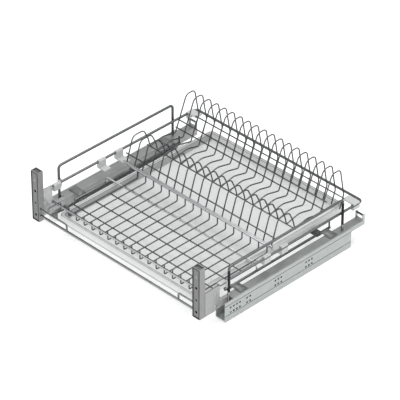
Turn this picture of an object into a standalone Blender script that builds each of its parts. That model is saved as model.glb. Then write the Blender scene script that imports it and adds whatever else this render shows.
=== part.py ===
"""Pull-out dish rack for a 600 mm base cabinet, in metres, +Z up.

Two undermount runners screw to the cabinet's sides. The drawer frame of bent rods, clips and front
posts slides out on them along -Y, and carries a drip tray, a flat cup rack in front and a plate rack
of bent wires behind. Both racks lift straight out.
"""

import math

import bmesh
import bpy
from mathutils import Matrix, Vector

for old_object in list(bpy.data.objects):
    bpy.data.objects.remove(old_object, do_unlink=True)

# Overall sizes: between the outer faces of the cabinet rails, and from the posts to the rear rod
overall_width = 0.564
overall_depth = 0.5187
half_width = overall_width / 2
front_y = -overall_depth / 2
rear_y = overall_depth / 2

# Clearances
seat_gap = 0.0003
running_gap = 0.0005
weld_sink = 0.0004
wire_weld = 0.0008
cut_overrun = 0.002
merge_distance = 0.000004

# Rods and wires
frame_rod_diameter = 0.006
cross_rod_diameter = 0.006
hook_rod_diameter = 0.0045
wire_diameter = 0.003
border_wire_diameter = 0.0042
frame_rod_radius = frame_rod_diameter / 2
cross_rod_radius = cross_rod_diameter / 2
hook_rod_radius = hook_rod_diameter / 2
wire_radius = wire_diameter / 2
border_wire_radius = border_wire_diameter / 2
wire_resolution = 1
rod_resolution = 2

# Cabinet rails
rail_sheet = 0.0015
cabinet_rail_setback = 0.064
cabinet_rail_rear_setback = 0.0547
cabinet_rail_height = 0.051
cabinet_rail_width = 0.029
cabinet_rail_floor_height = 0.003
cabinet_rail_lip_height = 0.022
cabinet_rail_front = front_y + cabinet_rail_setback
cabinet_rail_length = rear_y - cabinet_rail_rear_setback - cabinet_rail_front
cabinet_rail_floor_top = cabinet_rail_floor_height + rail_sheet
screw_hole_diameter = 0.0046
screw_hole_pitch = 0.0095
screw_hole_rows = (0.0205, 0.0330)
screw_hole_sides = 6
screw_group_shares = ((0.043, 4), (0.169, 2), (0.389, 3), (0.633, 3))

# Drawer rails, the inner members that carry the frame
drawer_rail_inset = 0.003
drawer_rail_width = 0.023
drawer_rail_top = 0.050
drawer_rail_setback = 0.092
drawer_rail_rear_setback = 0.0077
drawer_rail_outer_drop = 0.012
drawer_rail_inner_drop = 0.023
drawer_rail_outer = half_width - drawer_rail_inset
drawer_rail_inner = drawer_rail_outer - drawer_rail_width
drawer_rail_front = front_y + drawer_rail_setback
drawer_rail_rear = rear_y - drawer_rail_rear_setback
rear_hook_diameter = 0.005
rear_hook_rise = 0.013
rear_ear_depth = 0.007
rear_ear_top_margin = 0.0012
rear_hook_height = drawer_rail_top + rear_hook_rise

# Middle rails, which run between the two
mid_rail_outer_gap = 0.0035
mid_rail_inner_gap = 0.0035
mid_rail_setback = 0.093
mid_rail_rear_setback = 0.0537
mid_rail_flange = 0.006
mid_rail_outer = drawer_rail_outer - rail_sheet - mid_rail_outer_gap
mid_rail_inner = drawer_rail_inner + rail_sheet + mid_rail_inner_gap
mid_rail_bottom = cabinet_rail_floor_top + running_gap
mid_rail_top = drawer_rail_top - rail_sheet - running_gap
mid_rail_front = front_y + mid_rail_setback
mid_rail_rear = rear_y - mid_rail_rear_setback

# Posts, which carry the cabinet's front panel
post_side_inset = 0.0139
post_width = 0.0228
post_depth = 0.017
post_bottom = 0.0332
post_height = 0.1318
post_wall = 0.0024
post_recess_depth = 0.006
post_cap_depth = 0.0015
post_outer = half_width - post_side_inset
post_inner = post_outer - post_width
post_rear = front_y + post_depth
post_top = post_bottom + post_height
strip_width = 0.0155
strip_margin = 0.0012
strip_thickness = 0.005
strip_hole_diameter = 0.005
strip_hole_pitch = 0.032
strip_hole_sides = 8
strip_hole_middle_share = 0.362

# Perimeter rod, from which the racks and the tray take their heights
perimeter_height = 0.0926
perimeter_side_inset = 0.0172
perimeter_corner_radius = 0.010
perimeter_x = half_width - perimeter_side_inset

# Side brackets behind the posts
bracket_thickness = 0.0016
bracket_length = 0.0440
bracket_bottom = 0.033
bracket_rise = 0.0034
bracket_top = perimeter_height + bracket_rise
bracket_cut = 0.015
bracket_front = post_rear + seat_gap
bracket_rear = bracket_front + bracket_length
bracket_inner = post_outer - bracket_thickness

# Front couplers, which join the drawer rails to the brackets, and their release levers
coupler_front_gap = 0.007
coupler_height = 0.016
coupler_edge_round = 0.0008
lever_boss_radius = 0.004
lever_boss_setback = 0.074
lever_height = 0.010
lever_arm_length = 0.038
lever_arm_thickness = 0.0030
lever_tab_length = 0.008
lever_tab_thickness = 0.0048
lever_boss_sides = 12
lever_top_gap = 0.002

# Gallery rails above the perimeter rod
perimeter_front = bracket_rear + seat_gap
gallery_rise = 0.0408
gallery_corner_radius = 0.009
gallery_front_setback = 0.086
gallery_rear_setback = 0.0737
gallery_front_foot = 0.040
gallery_height = perimeter_height + gallery_rise
gallery_x = perimeter_x + frame_rod_diameter + seat_gap
gallery_front = front_y + gallery_front_setback
gallery_rear = rear_y - gallery_rear_setback

# Front legs of the plate rack, which the middle clips hold
plate_rack_setback = 0.259
clip_behind_leg = 0.005

# Clips on the perimeter rod
clip_length = 0.020
clip_inner_inset = 0.024
clip_outer_inset = 0.0144
clip_drop = 0.0166
clip_plain_drop = 0.0126
clip_rise = 0.0054
clip_chamfer = 0.002
clip_tongue_inset = 0.0485
clip_bar_tongue_inset = 0.0405
clip_tongue_thickness = 0.003
clip_bore_radius = frame_rod_radius + seat_gap
clip_bore_steps = 12
clip_bottom = perimeter_height - clip_drop
clip_plain_bottom = perimeter_height - clip_plain_drop
clip_top = perimeter_height + clip_rise
clip_inner = half_width - clip_inner_inset
clip_outer = half_width - clip_outer_inset
clip_tongue_end = half_width - clip_tongue_inset
clip_bar_tongue_end = half_width - clip_bar_tongue_inset
clip_front_setback = perimeter_front - front_y + clip_length / 2
clip_bar_setback = 0.210
clip_middle_setback = plate_rack_setback + clip_behind_leg
clip_rear_inset = frame_rod_radius + perimeter_corner_radius + seat_gap + clip_length / 2
clip_rear_setback = overall_depth - clip_rear_inset

# Front cross rod with its two hooks
cross_rod_setback = 0.005
cross_rod_height = 0.0496
hook_height = 0.0675
hook_corner_radius = 0.005
hook_length_left = 0.087
hook_length_right = 0.047
cross_rod_y = front_y + cross_rod_setback
cross_rod_end = post_inner - seat_gap

# Cup rack in front: a flat grille of wires
cup_side_inset = 0.05133
cup_wire_count = 19
cup_floor_drop = 0.008
cup_bend_radius = 0.004
cup_rim_setback = 0.028
cup_rim_thickness = 0.004
cup_rim_rise = 0.0143
cup_rim_height = 0.0057
cup_hook_rise = 0.0243
cup_rear_rim_setback = 0.2484
cup_rear_rim_rise = 0.0167
cup_rear_rim_diameter = 0.005
cup_cross_overhang = 0.0053
cup_cross_setbacks = (0.0715, 0.115, 0.160, 0.2035)
cup_border_index = 2
cup_wire_span = overall_width - 2 * cup_side_inset
cup_wire_pitch = cup_wire_span / (cup_wire_count - 1)
cup_floor_height = clip_bottom - cup_floor_drop
cup_rim_bottom = cup_floor_height + cup_rim_rise
cup_hook_top = cup_floor_height + cup_hook_rise
cup_rear_rim_height = cup_floor_height + cup_rear_rim_rise
cup_rim_y = front_y + cup_rim_setback
cup_hook_y = cup_rim_y + cup_rim_thickness / 2 + wire_radius - wire_weld
cup_rear_rim_radius = cup_rear_rim_diameter / 2
cup_rear_rim_y = front_y + cup_rear_rim_setback
cup_stub_y = cup_rear_rim_y - cup_rear_rim_radius - wire_radius + wire_weld
cup_cross_height = cup_floor_height - wire_diameter + wire_weld

# Drip tray
tray_side_inset = 0.069
tray_front_setback = 0.0325
tray_rear_setback = 0.0027
tray_drop = 0.012
tray_height = 0.021
tray_wall = 0.0015
tray_flange = 0.0025
tray_corner_radius = 0.012
tray_corner_steps = 3
tray_front = front_y + tray_front_setback
tray_rear = rear_y - tray_rear_setback
tray_half_width = half_width - tray_side_inset
tray_top = cup_floor_height - tray_drop
tray_bottom = tray_top - tray_height

# Side carriers, which hold the tray between the drawer rails
carrier_rod_inset = 0.042
carrier_rod_drop_share = 0.295
carrier_rod_front_setback = 0.104
carrier_rod_rear_setback = 0.080
carrier_strap_thickness = 0.0015
carrier_strap_width = 0.022
carrier_front_strap_setback = 0.129
carrier_rear_strap_setback = 0.105
carrier_end_margin = 0.004
carrier_slope_width = 0.009
carrier_arm_length = 0.045
carrier_rod_x = half_width - carrier_rod_inset
carrier_top = drawer_rail_top + seat_gap + carrier_strap_thickness / 2
carrier_low = tray_bottom - seat_gap - carrier_strap_thickness / 2
carrier_rod_height = carrier_top - carrier_rod_drop_share * (carrier_top - carrier_low)
carrier_shoulder = carrier_rod_x + carrier_slope_width / 2
carrier_foot = carrier_rod_x - carrier_slope_width / 2

# Crossbar under the cup rack's last cross wire
under_bar_diameter = 0.004
under_bar_bend_radius = 0.008
under_bar_radius = under_bar_diameter / 2
under_bar_height = cup_cross_height - wire_radius - seat_gap - under_bar_radius
under_bar_y = front_y + cup_cross_setbacks[-1]
under_bar_foot = carrier_rod_height + frame_rod_radius + seat_gap

# Bracket tabs under the cup rack's front rim
rest_tab_thickness = 0.0015
rest_tab_overlap = 0.004
rest_tab_depth = 0.008
rest_tab_top = cup_rim_bottom - seat_gap

# Plate rack behind: bent wires on six cross wires
plate_wire_count = 19
plate_rack_rear_inset = 0.0274
plate_rack_drop = 0.005
plate_rack_height = 0.108
plate_cross_overhang = 0.0063
plate_corner_shares = (
    (0.000, 0.083, 0.0000, 0),
    (0.088, 0.665, 0.0604, 3),
    (0.235, 0.667, 0.0604, 3),
    (0.293, 0.403, 0.0000, 0),
    (0.321, 0.167, 0.0172, 2),
    (0.495, 0.256, 0.1953, 1),
    (0.669, 0.160, 0.0214, 2),
    (0.8265, 0.998, 0.0651, 3),
    (0.9406, 1.000, 0.0511, 3),
    (1.000, 0.315, 0.0000, 0),
    (0.947, 0.000, 0.0000, 0),
)
mid_wire_share = 0.287
valley_wire_share = 0.208
floor_wire_share = 0.259
back_wire_share = 0.426
plate_rim_diameter = 0.006
plate_rim_radius = plate_rim_diameter / 2
plate_wire_half_span = cup_wire_span / 2
plate_cross_half_length = plate_wire_half_span + plate_cross_overhang
plate_rack_front = front_y + plate_rack_setback
plate_rack_depth = overall_depth - plate_rack_setback - plate_rack_rear_inset
plate_rack_base = clip_bottom - plate_rack_drop
front_leg, small_arch_rear_leg, tall_arch_front_leg, tall_arch_rear_leg = (0, 1), (3, 4), (6, 7), (9, 10)
plate_rim_height = clip_bottom + clip_tongue_thickness + seat_gap + plate_rim_radius
rear_wire_height = clip_top + wire_radius

sides = (("left", -1), ("right", 1))


# Materials

def finish(name, colour, metallic, roughness):
    """A Principled material with one colour."""
    material = bpy.data.materials.new(name)
    material.use_nodes = True
    shader = material.node_tree.nodes["Principled BSDF"]
    shader.inputs["Base Color"].default_value = (*colour, 1)
    shader.inputs["Metallic"].default_value = metallic
    shader.inputs["Roughness"].default_value = roughness
    material.diffuse_color = (*colour, 1)
    return material


chrome = finish("chrome_wire", (0.42, 0.43, 0.44), 1.0, 0.2)
rod_steel = finish("rod_steel", (0.50, 0.51, 0.52), 1.0, 0.25)
zinc_steel = finish("zinc_steel", (0.55, 0.58, 0.57), 0.9, 0.35)
post_metal = finish("post_aluminium", (0.40, 0.40, 0.41), 0.8, 0.4)
strip_dark = finish("strip_dark", (0.26, 0.26, 0.27), 0.7, 0.45)
clip_plastic = finish("clip_plastic", (0.48, 0.49, 0.49), 0.0, 0.5)
coupler_plastic = finish("coupler_plastic", (0.19, 0.195, 0.20), 0.0, 0.5)
tray_plastic = finish("tray_plastic", (0.70, 0.72, 0.71), 0.0, 0.4)


# Building blocks

def empty(name, parent=None):
    """A frame that moves what is parented to it."""
    frame = bpy.data.objects.new(name, None)
    bpy.context.scene.collection.objects.link(frame)
    frame.parent = parent
    return frame


def placed(name, data, material, parent, location=(0, 0, 0)):
    """An object of this mesh or curve, linked to the scene under its parent."""
    piece = bpy.data.objects.new(name, data)
    bpy.context.scene.collection.objects.link(piece)
    piece.parent = parent
    piece.location = location
    if not data.materials:
        data.materials.append(material)
    return piece


def mesh_of(bm, name, smooth_angle=math.radians(40)):
    """The bmesh as a mesh, with its normals outwards and its round faces smooth."""
    bmesh.ops.recalc_face_normals(bm, faces=bm.faces)
    mesh = bpy.data.meshes.new(name)
    bm.to_mesh(mesh)
    bm.free()
    mesh.shade_smooth()
    mesh.set_sharp_from_angle(angle=smooth_angle)
    return mesh


def hidden_operand(name, mesh, parent=None):
    """An object that only serves a Boolean, left out of the render."""
    operand = bpy.data.objects.new(name, mesh)
    bpy.context.scene.collection.objects.link(operand)
    operand.parent = parent
    operand.hide_render = True
    operand.display_type = "WIRE"
    return operand


def boolean(piece, operand, operation):
    """Adds a Boolean modifier with the operand to the piece."""
    modifier = piece.modifiers.new(operation.lower(), "BOOLEAN")
    modifier.operation = operation
    modifier.solver = "EXACT"
    modifier.object = operand


def rod_curve(name, paths, radius, resolution):
    """A curve with one round bevelled spline for each path."""
    curve = bpy.data.curves.new(name, "CURVE")
    curve.dimensions = "3D"
    curve.bevel_depth = radius
    curve.bevel_resolution = resolution
    curve.use_fill_caps = True
    curve.render_resolution_u = 0
    for path in paths:
        spline = curve.splines.new("POLY")
        spline.points.add(len(path) - 1)
        for point, place in zip(spline.points, path):
            point.co = (*place, 1)
        spline.use_smooth = True
    return curve


def rod_bmesh(paths, radius, resolution):
    """The same rods as closed meshes, with their caps joined to their sides."""
    curve = rod_curve("rod_guide", paths, radius, resolution)
    guide = bpy.data.objects.new("rod_guide", curve)
    bpy.context.scene.collection.objects.link(guide)
    graph = bpy.context.evaluated_depsgraph_get()
    mesh = bpy.data.meshes.new_from_object(guide.evaluated_get(graph))
    bm = bmesh.new()
    bm.from_mesh(mesh)
    bmesh.ops.remove_doubles(bm, verts=bm.verts, dist=merge_distance)
    bpy.data.objects.remove(guide, do_unlink=True)
    bpy.data.meshes.remove(mesh)
    bpy.data.curves.remove(curve)
    return bm


def rounded_path(corners):
    """The flat path through corners (a, b, radius, steps), with an arc at each that has a radius."""
    points = []
    for index, (a, b, radius, steps) in enumerate(corners):
        corner = Vector((a, b))
        if radius == 0 or steps == 0:
            points.append(corner)
            continue
        back = (Vector(corners[index - 1][:2]) - corner).normalized()
        ahead = (Vector(corners[index + 1][:2]) - corner).normalized()
        half_angle = back.angle(ahead) / 2
        centre = corner + (back + ahead).normalized() * radius / math.sin(half_angle)
        first = corner + back * radius / math.tan(half_angle) - centre
        last = corner + ahead * radius / math.tan(half_angle) - centre
        turn = first.angle_signed(last)
        for step in range(steps + 1):
            angle = -turn * step / steps
            points.append(centre + Matrix.Rotation(angle, 2) @ first)
    return points


def extruded(outline, low, high, axes):
    """A solid of this flat outline, drawn along the third axis from low to high."""
    first, second = axes
    third = 3 - first - second
    bm = bmesh.new()
    corners = []
    for a, b in outline:
        place = [low, low, low]
        place[first] = a
        place[second] = b
        corners.append(bm.verts.new(place))
    face = bm.faces.new(corners)
    grown = bmesh.ops.extrude_face_region(bm, geom=[face])
    moved = [item for item in grown["geom"] if isinstance(item, bmesh.types.BMVert)]
    reach = Vector((0, 0, 0))
    reach[third] = high - low
    bmesh.ops.translate(bm, verts=moved, vec=reach)
    return bm


def box(low, high):
    """A box between two corners."""
    bm = bmesh.new()
    bmesh.ops.create_cube(bm, size=1)
    size = Vector(high) - Vector(low)
    size = Vector([abs(length) for length in size])
    bmesh.ops.scale(bm, vec=size, verts=bm.verts)
    bmesh.ops.translate(bm, vec=(Vector(low) + Vector(high)) / 2, verts=bm.verts)
    return bm


def pins(centres, axis, radius, length, pin_sides):
    """Round pins of one size about these centres, along an axis, in one mesh."""
    bm = bmesh.new()
    turn = Vector((0, 0, 1)).rotation_difference(axis).to_matrix().to_4x4()
    for centre in centres:
        bmesh.ops.create_cone(
            bm,
            cap_ends=True,
            segments=pin_sides,
            radius1=radius,
            radius2=radius,
            depth=length,
            matrix=Matrix.Translation(centre) @ turn,
        )
    return bm


def lofted(rings):
    """A closed solid through these rings of points, capped at the first and the last."""
    bm = bmesh.new()
    rows = [[bm.verts.new(point) for point in ring] for ring in rings]
    for lower, upper in zip(rows, rows[1:]):
        for index in range(len(lower)):
            after = (index + 1) % len(lower)
            bm.faces.new((lower[index], lower[after], upper[after], upper[index]))
    bm.faces.new(rows[0])
    bm.faces.new(rows[-1])
    return bm


def strap_outline(centreline, thickness):
    """The outline of a strap of this thickness about a flat path, mitred at its corners."""
    over, under = [], []
    for index, point in enumerate(centreline):
        before = centreline[max(index - 1, 0)]
        after = centreline[min(index + 1, len(centreline) - 1)]
        into = (point - before).normalized() if index else (after - point).normalized()
        out = (after - point).normalized() if index < len(centreline) - 1 else into
        along = (into + out).normalized()
        normal = Vector((-along.y, along.x))
        offset = normal * thickness / 2 / along.dot(into)
        over.append(point + offset)
        under.append(point - offset)
    return over + under[::-1]


# Runners: cabinet rail, middle rail and drawer rail on each side

def cabinet_rail(label, side):
    """A trough of sheet steel, screwed to the cabinet's side."""
    outer = half_width
    inner = outer - cabinet_rail_width
    web = outer - rail_sheet
    lip = inner + rail_sheet
    outline = [
        (outer, 0),
        (outer, cabinet_rail_height),
        (web, cabinet_rail_height),
        (web, cabinet_rail_floor_top),
        (lip, cabinet_rail_floor_top),
        (lip, cabinet_rail_lip_height),
        (inner, cabinet_rail_lip_height),
        (inner, cabinet_rail_floor_height),
        (web, cabinet_rail_floor_height),
        (web, 0),
    ]
    rail = extruded(
        [(side * x, z) for x, z in outline],
        cabinet_rail_front,
        cabinet_rail_front + cabinet_rail_length,
        (0, 2),
    )
    piece = placed(f"cabinet_rail_{label}", mesh_of(rail, f"cabinet_rail_{label}"), zinc_steel, None)
    centres = []
    for share, count in screw_group_shares:
        for number in range(count):
            y = cabinet_rail_front + share * cabinet_rail_length + number * screw_hole_pitch
            centres += [Vector((side * (outer - rail_sheet / 2), y, z)) for z in screw_hole_rows]
    holes = pins(
        centres,
        Vector((1, 0, 0)),
        screw_hole_diameter / 2,
        rail_sheet + cut_overrun,
        screw_hole_sides,
    )
    cutter = hidden_operand(f"screw_holes_{label}", mesh_of(holes, f"screw_holes_{label}"))
    boolean(piece, cutter, "DIFFERENCE")


def mid_rail(label, side):
    """A C section that runs half as far as the drawer."""
    web = mid_rail_outer - rail_sheet
    inner_lip = mid_rail_inner + rail_sheet
    outline = [
        (mid_rail_outer, mid_rail_bottom),
        (mid_rail_outer, mid_rail_top),
        (mid_rail_inner, mid_rail_top),
        (mid_rail_inner, mid_rail_top - mid_rail_flange),
        (inner_lip, mid_rail_top - mid_rail_flange),
        (inner_lip, mid_rail_top - rail_sheet),
        (web, mid_rail_top - rail_sheet),
        (web, mid_rail_bottom + rail_sheet),
        (inner_lip, mid_rail_bottom + rail_sheet),
        (inner_lip, mid_rail_bottom + mid_rail_flange),
        (mid_rail_inner, mid_rail_bottom + mid_rail_flange),
        (mid_rail_inner, mid_rail_bottom),
    ]
    rail = extruded(
        [(side * x, z) for x, z in outline],
        mid_rail_front,
        mid_rail_rear,
        (0, 2),
    )
    slide = empty(f"mid_slide_{label}")
    placed(f"mid_rail_{label}", mesh_of(rail, f"mid_rail_{label}"), zinc_steel, slide)


def drawer_rail(label, side, parent):
    """An inverted channel over the middle rail, with a hook rod between two ears at its rear end."""
    under = drawer_rail_top - rail_sheet
    outline = [
        (drawer_rail_outer, drawer_rail_top - drawer_rail_outer_drop),
        (drawer_rail_outer, drawer_rail_top),
        (drawer_rail_inner, drawer_rail_top),
        (drawer_rail_inner, drawer_rail_top - drawer_rail_inner_drop),
        (drawer_rail_inner + rail_sheet, drawer_rail_top - drawer_rail_inner_drop),
        (drawer_rail_inner + rail_sheet, under),
        (drawer_rail_outer - rail_sheet, under),
        (drawer_rail_outer - rail_sheet, drawer_rail_top - drawer_rail_outer_drop),
    ]
    rail = extruded(
        [(side * x, z) for x, z in outline],
        drawer_rail_front,
        drawer_rail_rear,
        (0, 2),
    )
    piece = placed(f"drawer_rail_{label}", mesh_of(rail, f"drawer_rail_{label}"), zinc_steel, parent)
    ears = bmesh.new()
    for low_x in (drawer_rail_inner, drawer_rail_outer - rail_sheet):
        outline = [
            (low_x, drawer_rail_rear - rear_ear_depth),
            (low_x + rail_sheet, drawer_rail_rear - rear_ear_depth),
            (low_x + rail_sheet, drawer_rail_rear),
            (low_x, drawer_rail_rear),
        ]
        ear_top = rear_hook_height + rear_hook_diameter / 2 + rear_ear_top_margin
        ear = extruded([(side * x, y) for x, y in outline], drawer_rail_top - weld_sink, ear_top, (0, 1))
        ear_mesh = mesh_of(ear, f"rear_ear_{label}")
        ears.from_mesh(ear_mesh)
        bpy.data.meshes.remove(ear_mesh)
    operand = hidden_operand(f"rear_ears_{label}", mesh_of(ears, f"rear_ears_{label}"), parent)
    boolean(piece, operand, "UNION")
    middle = side * (drawer_rail_inner + drawer_rail_width / 2)
    hook_place = Vector((middle, drawer_rail_rear - rear_ear_depth / 2, rear_hook_height))
    hook_length = drawer_rail_width - rail_sheet
    hook = pins([hook_place], Vector((1, 0, 0)), rear_hook_diameter / 2, hook_length, strip_hole_sides)
    operand = hidden_operand(f"rear_hook_{label}", mesh_of(hook, f"rear_hook_{label}"), parent)
    boolean(piece, operand, "UNION")


# Drawer front: posts, strips, brackets, couplers and levers

def post(label, side, parent):
    """A hollow-fronted post, with a shallow cap at its top."""
    bm = box((side * post_inner, front_y, post_bottom), (side * post_outer, post_rear, post_top))
    bm.normal_update()
    for direction, depth in ((Vector((0, -1, 0)), post_recess_depth), (Vector((0, 0, 1)), post_cap_depth)):
        face = max(bm.faces, key=lambda item: item.normal.dot(direction) * item.calc_area())
        bmesh.ops.inset_individual(bm, faces=[face], thickness=post_wall, depth=0)
        grown = bmesh.ops.extrude_face_region(bm, geom=[face])
        moved = [item for item in grown["geom"] if isinstance(item, bmesh.types.BMVert)]
        bmesh.ops.translate(bm, verts=moved, vec=direction * -depth)
        bmesh.ops.delete(bm, geom=[face], context="FACES_ONLY")
        bm.normal_update()
    placed(f"post_{label}", mesh_of(bm, f"post_{label}"), post_metal, parent)


def post_strip(label, side, parent):
    """The strip in the post's recess, with three holes for the front panel's screws."""
    middle = (post_inner + post_outer) / 2
    half_height = post_height / 2 - post_wall - strip_margin
    centre_z = post_bottom + post_height / 2
    rear = front_y + post_recess_depth - seat_gap
    front = rear - strip_thickness
    bm = box(
        (side * (middle - strip_width / 2), front, centre_z - half_height),
        (side * (middle + strip_width / 2), rear, centre_z + half_height),
    )
    piece = placed(f"post_strip_{label}", mesh_of(bm, f"post_strip_{label}"), strip_dark, parent)
    hole_z = post_bottom + strip_hole_middle_share * post_height
    centres = [
        Vector((side * middle, (front + rear) / 2, hole_z + step * strip_hole_pitch)) for step in (-1, 0, 1)
    ]
    holes = pins(
        centres,
        Vector((0, 1, 0)),
        strip_hole_diameter / 2,
        strip_thickness + cut_overrun,
        strip_hole_sides,
    )
    cutter = hidden_operand(f"strip_holes_{label}", mesh_of(holes, f"strip_holes_{label}"), parent)
    boolean(piece, cutter, "DIFFERENCE")


def side_bracket(label, side, parent):
    """The plate behind a post, with a bent tab that holds the cup rack's front rim."""
    outline = [
        (bracket_front, bracket_bottom),
        (bracket_rear - bracket_cut, bracket_bottom),
        (bracket_rear, bracket_bottom + bracket_cut),
        (bracket_rear, bracket_top),
        (bracket_front, bracket_top),
    ]
    plate = extruded(outline, side * bracket_inner, side * post_outer, (1, 2))
    piece = placed(f"side_bracket_{label}", mesh_of(plate, f"side_bracket_{label}"), zinc_steel, parent)
    tab_rear = cup_hook_y - wire_radius - seat_gap
    tab_inner = plate_wire_half_span - rest_tab_overlap
    tab = box(
        (side * tab_inner, tab_rear - rest_tab_depth, rest_tab_top - rest_tab_thickness),
        (side * (bracket_inner + weld_sink), tab_rear, rest_tab_top),
    )
    operand = hidden_operand(f"rest_tab_{label}", mesh_of(tab, f"rest_tab_{label}"), parent)
    boolean(piece, operand, "UNION")


def front_coupler(label, side, parent):
    """The block between the drawer rail's front end and the bracket."""
    bm = box(
        (side * drawer_rail_inner, post_rear + coupler_front_gap, drawer_rail_top - coupler_height),
        (side * (bracket_inner - seat_gap), drawer_rail_front - seat_gap, drawer_rail_top),
    )
    upright = [
        edge for edge in bm.edges if abs(edge.verts[0].co.z - edge.verts[1].co.z) > coupler_height / 2
    ]
    bmesh.ops.bevel(
        bm, geom=upright, offset=coupler_edge_round, affect="EDGES", segments=1, profile=0.5, material=-1
    )
    placed(f"front_coupler_{label}", mesh_of(bm, f"front_coupler_{label}"), coupler_plastic, parent)


def release_lever(label, side, parent):
    """The lever that frees the frame from its runner. It turns inwards about its boss."""
    boss_x = drawer_rail_inner - seat_gap - lever_boss_radius
    top = drawer_rail_top - lever_top_gap
    pivot = Vector((side * boss_x, front_y + lever_boss_setback, top - lever_height / 2))
    bm = pins([Vector((0, 0, 0))], Vector((0, 0, 1)), lever_boss_radius, lever_height, lever_boss_sides)
    name = f"release_lever_{label}"
    piece = placed(name, mesh_of(bm, name), coupler_plastic, parent, pivot)
    reach = lever_arm_length - lever_tab_length
    half_arm = lever_arm_thickness / 2
    outline = [
        (-half_arm, 0),
        (half_arm, 0),
        (half_arm, -lever_arm_length),
        (half_arm - lever_tab_thickness, -lever_arm_length),
        (half_arm - lever_tab_thickness, -reach),
        (-half_arm, -reach + lever_tab_thickness - lever_arm_thickness),
    ]
    arm_height = lever_height / 2 - running_gap
    arm = extruded([(side * x, y) for x, y in outline], -arm_height, arm_height, (0, 1))
    operand = hidden_operand(f"lever_arm_{label}", mesh_of(arm, f"lever_arm_{label}"), parent)
    operand.location = pivot
    boolean(piece, operand, "UNION")


# Frame of bent rods

def perimeter_rod(parent):
    """The rod round both sides and the back."""
    rear = rear_y - frame_rod_radius
    corners = [
        (-perimeter_x, perimeter_front, 0, 0),
        (-perimeter_x, rear, perimeter_corner_radius, 4),
        (perimeter_x, rear, perimeter_corner_radius, 4),
        (perimeter_x, perimeter_front, 0, 0),
    ]
    path = [(x, y, perimeter_height) for x, y in rounded_path(corners)]
    rod = rod_curve("perimeter_rod", [path], frame_rod_radius, rod_resolution)
    placed("perimeter_rod", rod, rod_steel, parent)


def gallery_rail(label, side, parent):
    """The raised side rail, whose rear leg stands on the drawer rail."""
    rear_foot = drawer_rail_top + seat_gap
    corners = [
        (gallery_front, gallery_front_foot, 0, 0),
        (gallery_front, gallery_height, gallery_corner_radius, 3),
        (gallery_rear, gallery_height, gallery_corner_radius, 3),
        (gallery_rear, rear_foot, 0, 0),
    ]
    path = [(side * gallery_x, y, z) for y, z in rounded_path(corners)]
    name = f"gallery_rail_{label}"
    placed(name, rod_curve(name, [path], frame_rod_radius, rod_resolution), rod_steel, parent)


def front_cross_rod(parent):
    """The rod between the posts, with a hook rod from each post down to it."""
    straight = [(x, cross_rod_y, cross_rod_height) for x in (-cross_rod_end, cross_rod_end)]
    bm = rod_bmesh([straight], cross_rod_radius, rod_resolution)
    piece = placed("front_cross_rod", mesh_of(bm, "front_cross_rod"), rod_steel, parent)
    hook_y = cross_rod_y + weld_sink
    for label, side, length in (("left", -1, hook_length_left), ("right", 1, hook_length_right)):
        foot = post_inner - length
        corners = [
            (cross_rod_end, hook_height, 0, 0),
            (foot, hook_height, hook_corner_radius, 3),
            (foot, cross_rod_height, 0, 0),
        ]
        path = [(side * x, hook_y, z) for x, z in rounded_path(corners)]
        hook = rod_bmesh([path], hook_rod_radius, wire_resolution)
        operand = hidden_operand(f"hook_rod_{label}", mesh_of(hook, f"hook_rod_{label}"), parent)
        boolean(piece, operand, "UNION")


def under_crossbar(parent):
    """The bar that the cup rack rests on, bent down onto a side carrier at each end."""
    corners = [
        (-carrier_rod_x, under_bar_foot, 0, 0),
        (-carrier_rod_x, under_bar_height, under_bar_bend_radius, 3),
        (carrier_rod_x, under_bar_height, under_bar_bend_radius, 3),
        (carrier_rod_x, under_bar_foot, 0, 0),
    ]
    path = [(x, under_bar_y, z) for x, z in rounded_path(corners)]
    bar = rod_curve("under_crossbar", [path], under_bar_radius, rod_resolution)
    placed("under_crossbar", bar, rod_steel, parent)


def side_carrier(label, side, parent):
    """A rod along the tray, with two straps from the drawer rail down and in under the tray."""
    ends = (front_y + carrier_rod_front_setback, rear_y - carrier_rod_rear_setback)
    path = [(side * carrier_rod_x, y, carrier_rod_height) for y in ends]
    bm = rod_bmesh([path], frame_rod_radius, rod_resolution)
    piece = placed(f"side_carrier_{label}", mesh_of(bm, f"side_carrier_{label}"), rod_steel, parent)
    centreline = [
        Vector((drawer_rail_outer - carrier_end_margin, carrier_top)),
        Vector((carrier_shoulder, carrier_top)),
        Vector((carrier_foot, carrier_low)),
        Vector((carrier_foot - carrier_arm_length, carrier_low)),
    ]
    outline = strap_outline(centreline, carrier_strap_thickness)
    middles = (front_y + carrier_front_strap_setback, rear_y - carrier_rear_strap_setback)
    for number, middle in enumerate(middles):
        strap = extruded(
            [(side * x, z) for x, z in outline],
            middle - carrier_strap_width / 2,
            middle + carrier_strap_width / 2,
            (0, 2),
        )
        name = f"carrier_strap_{label}_{number}"
        boolean(piece, hidden_operand(name, mesh_of(strap, name), parent), "UNION")


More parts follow.
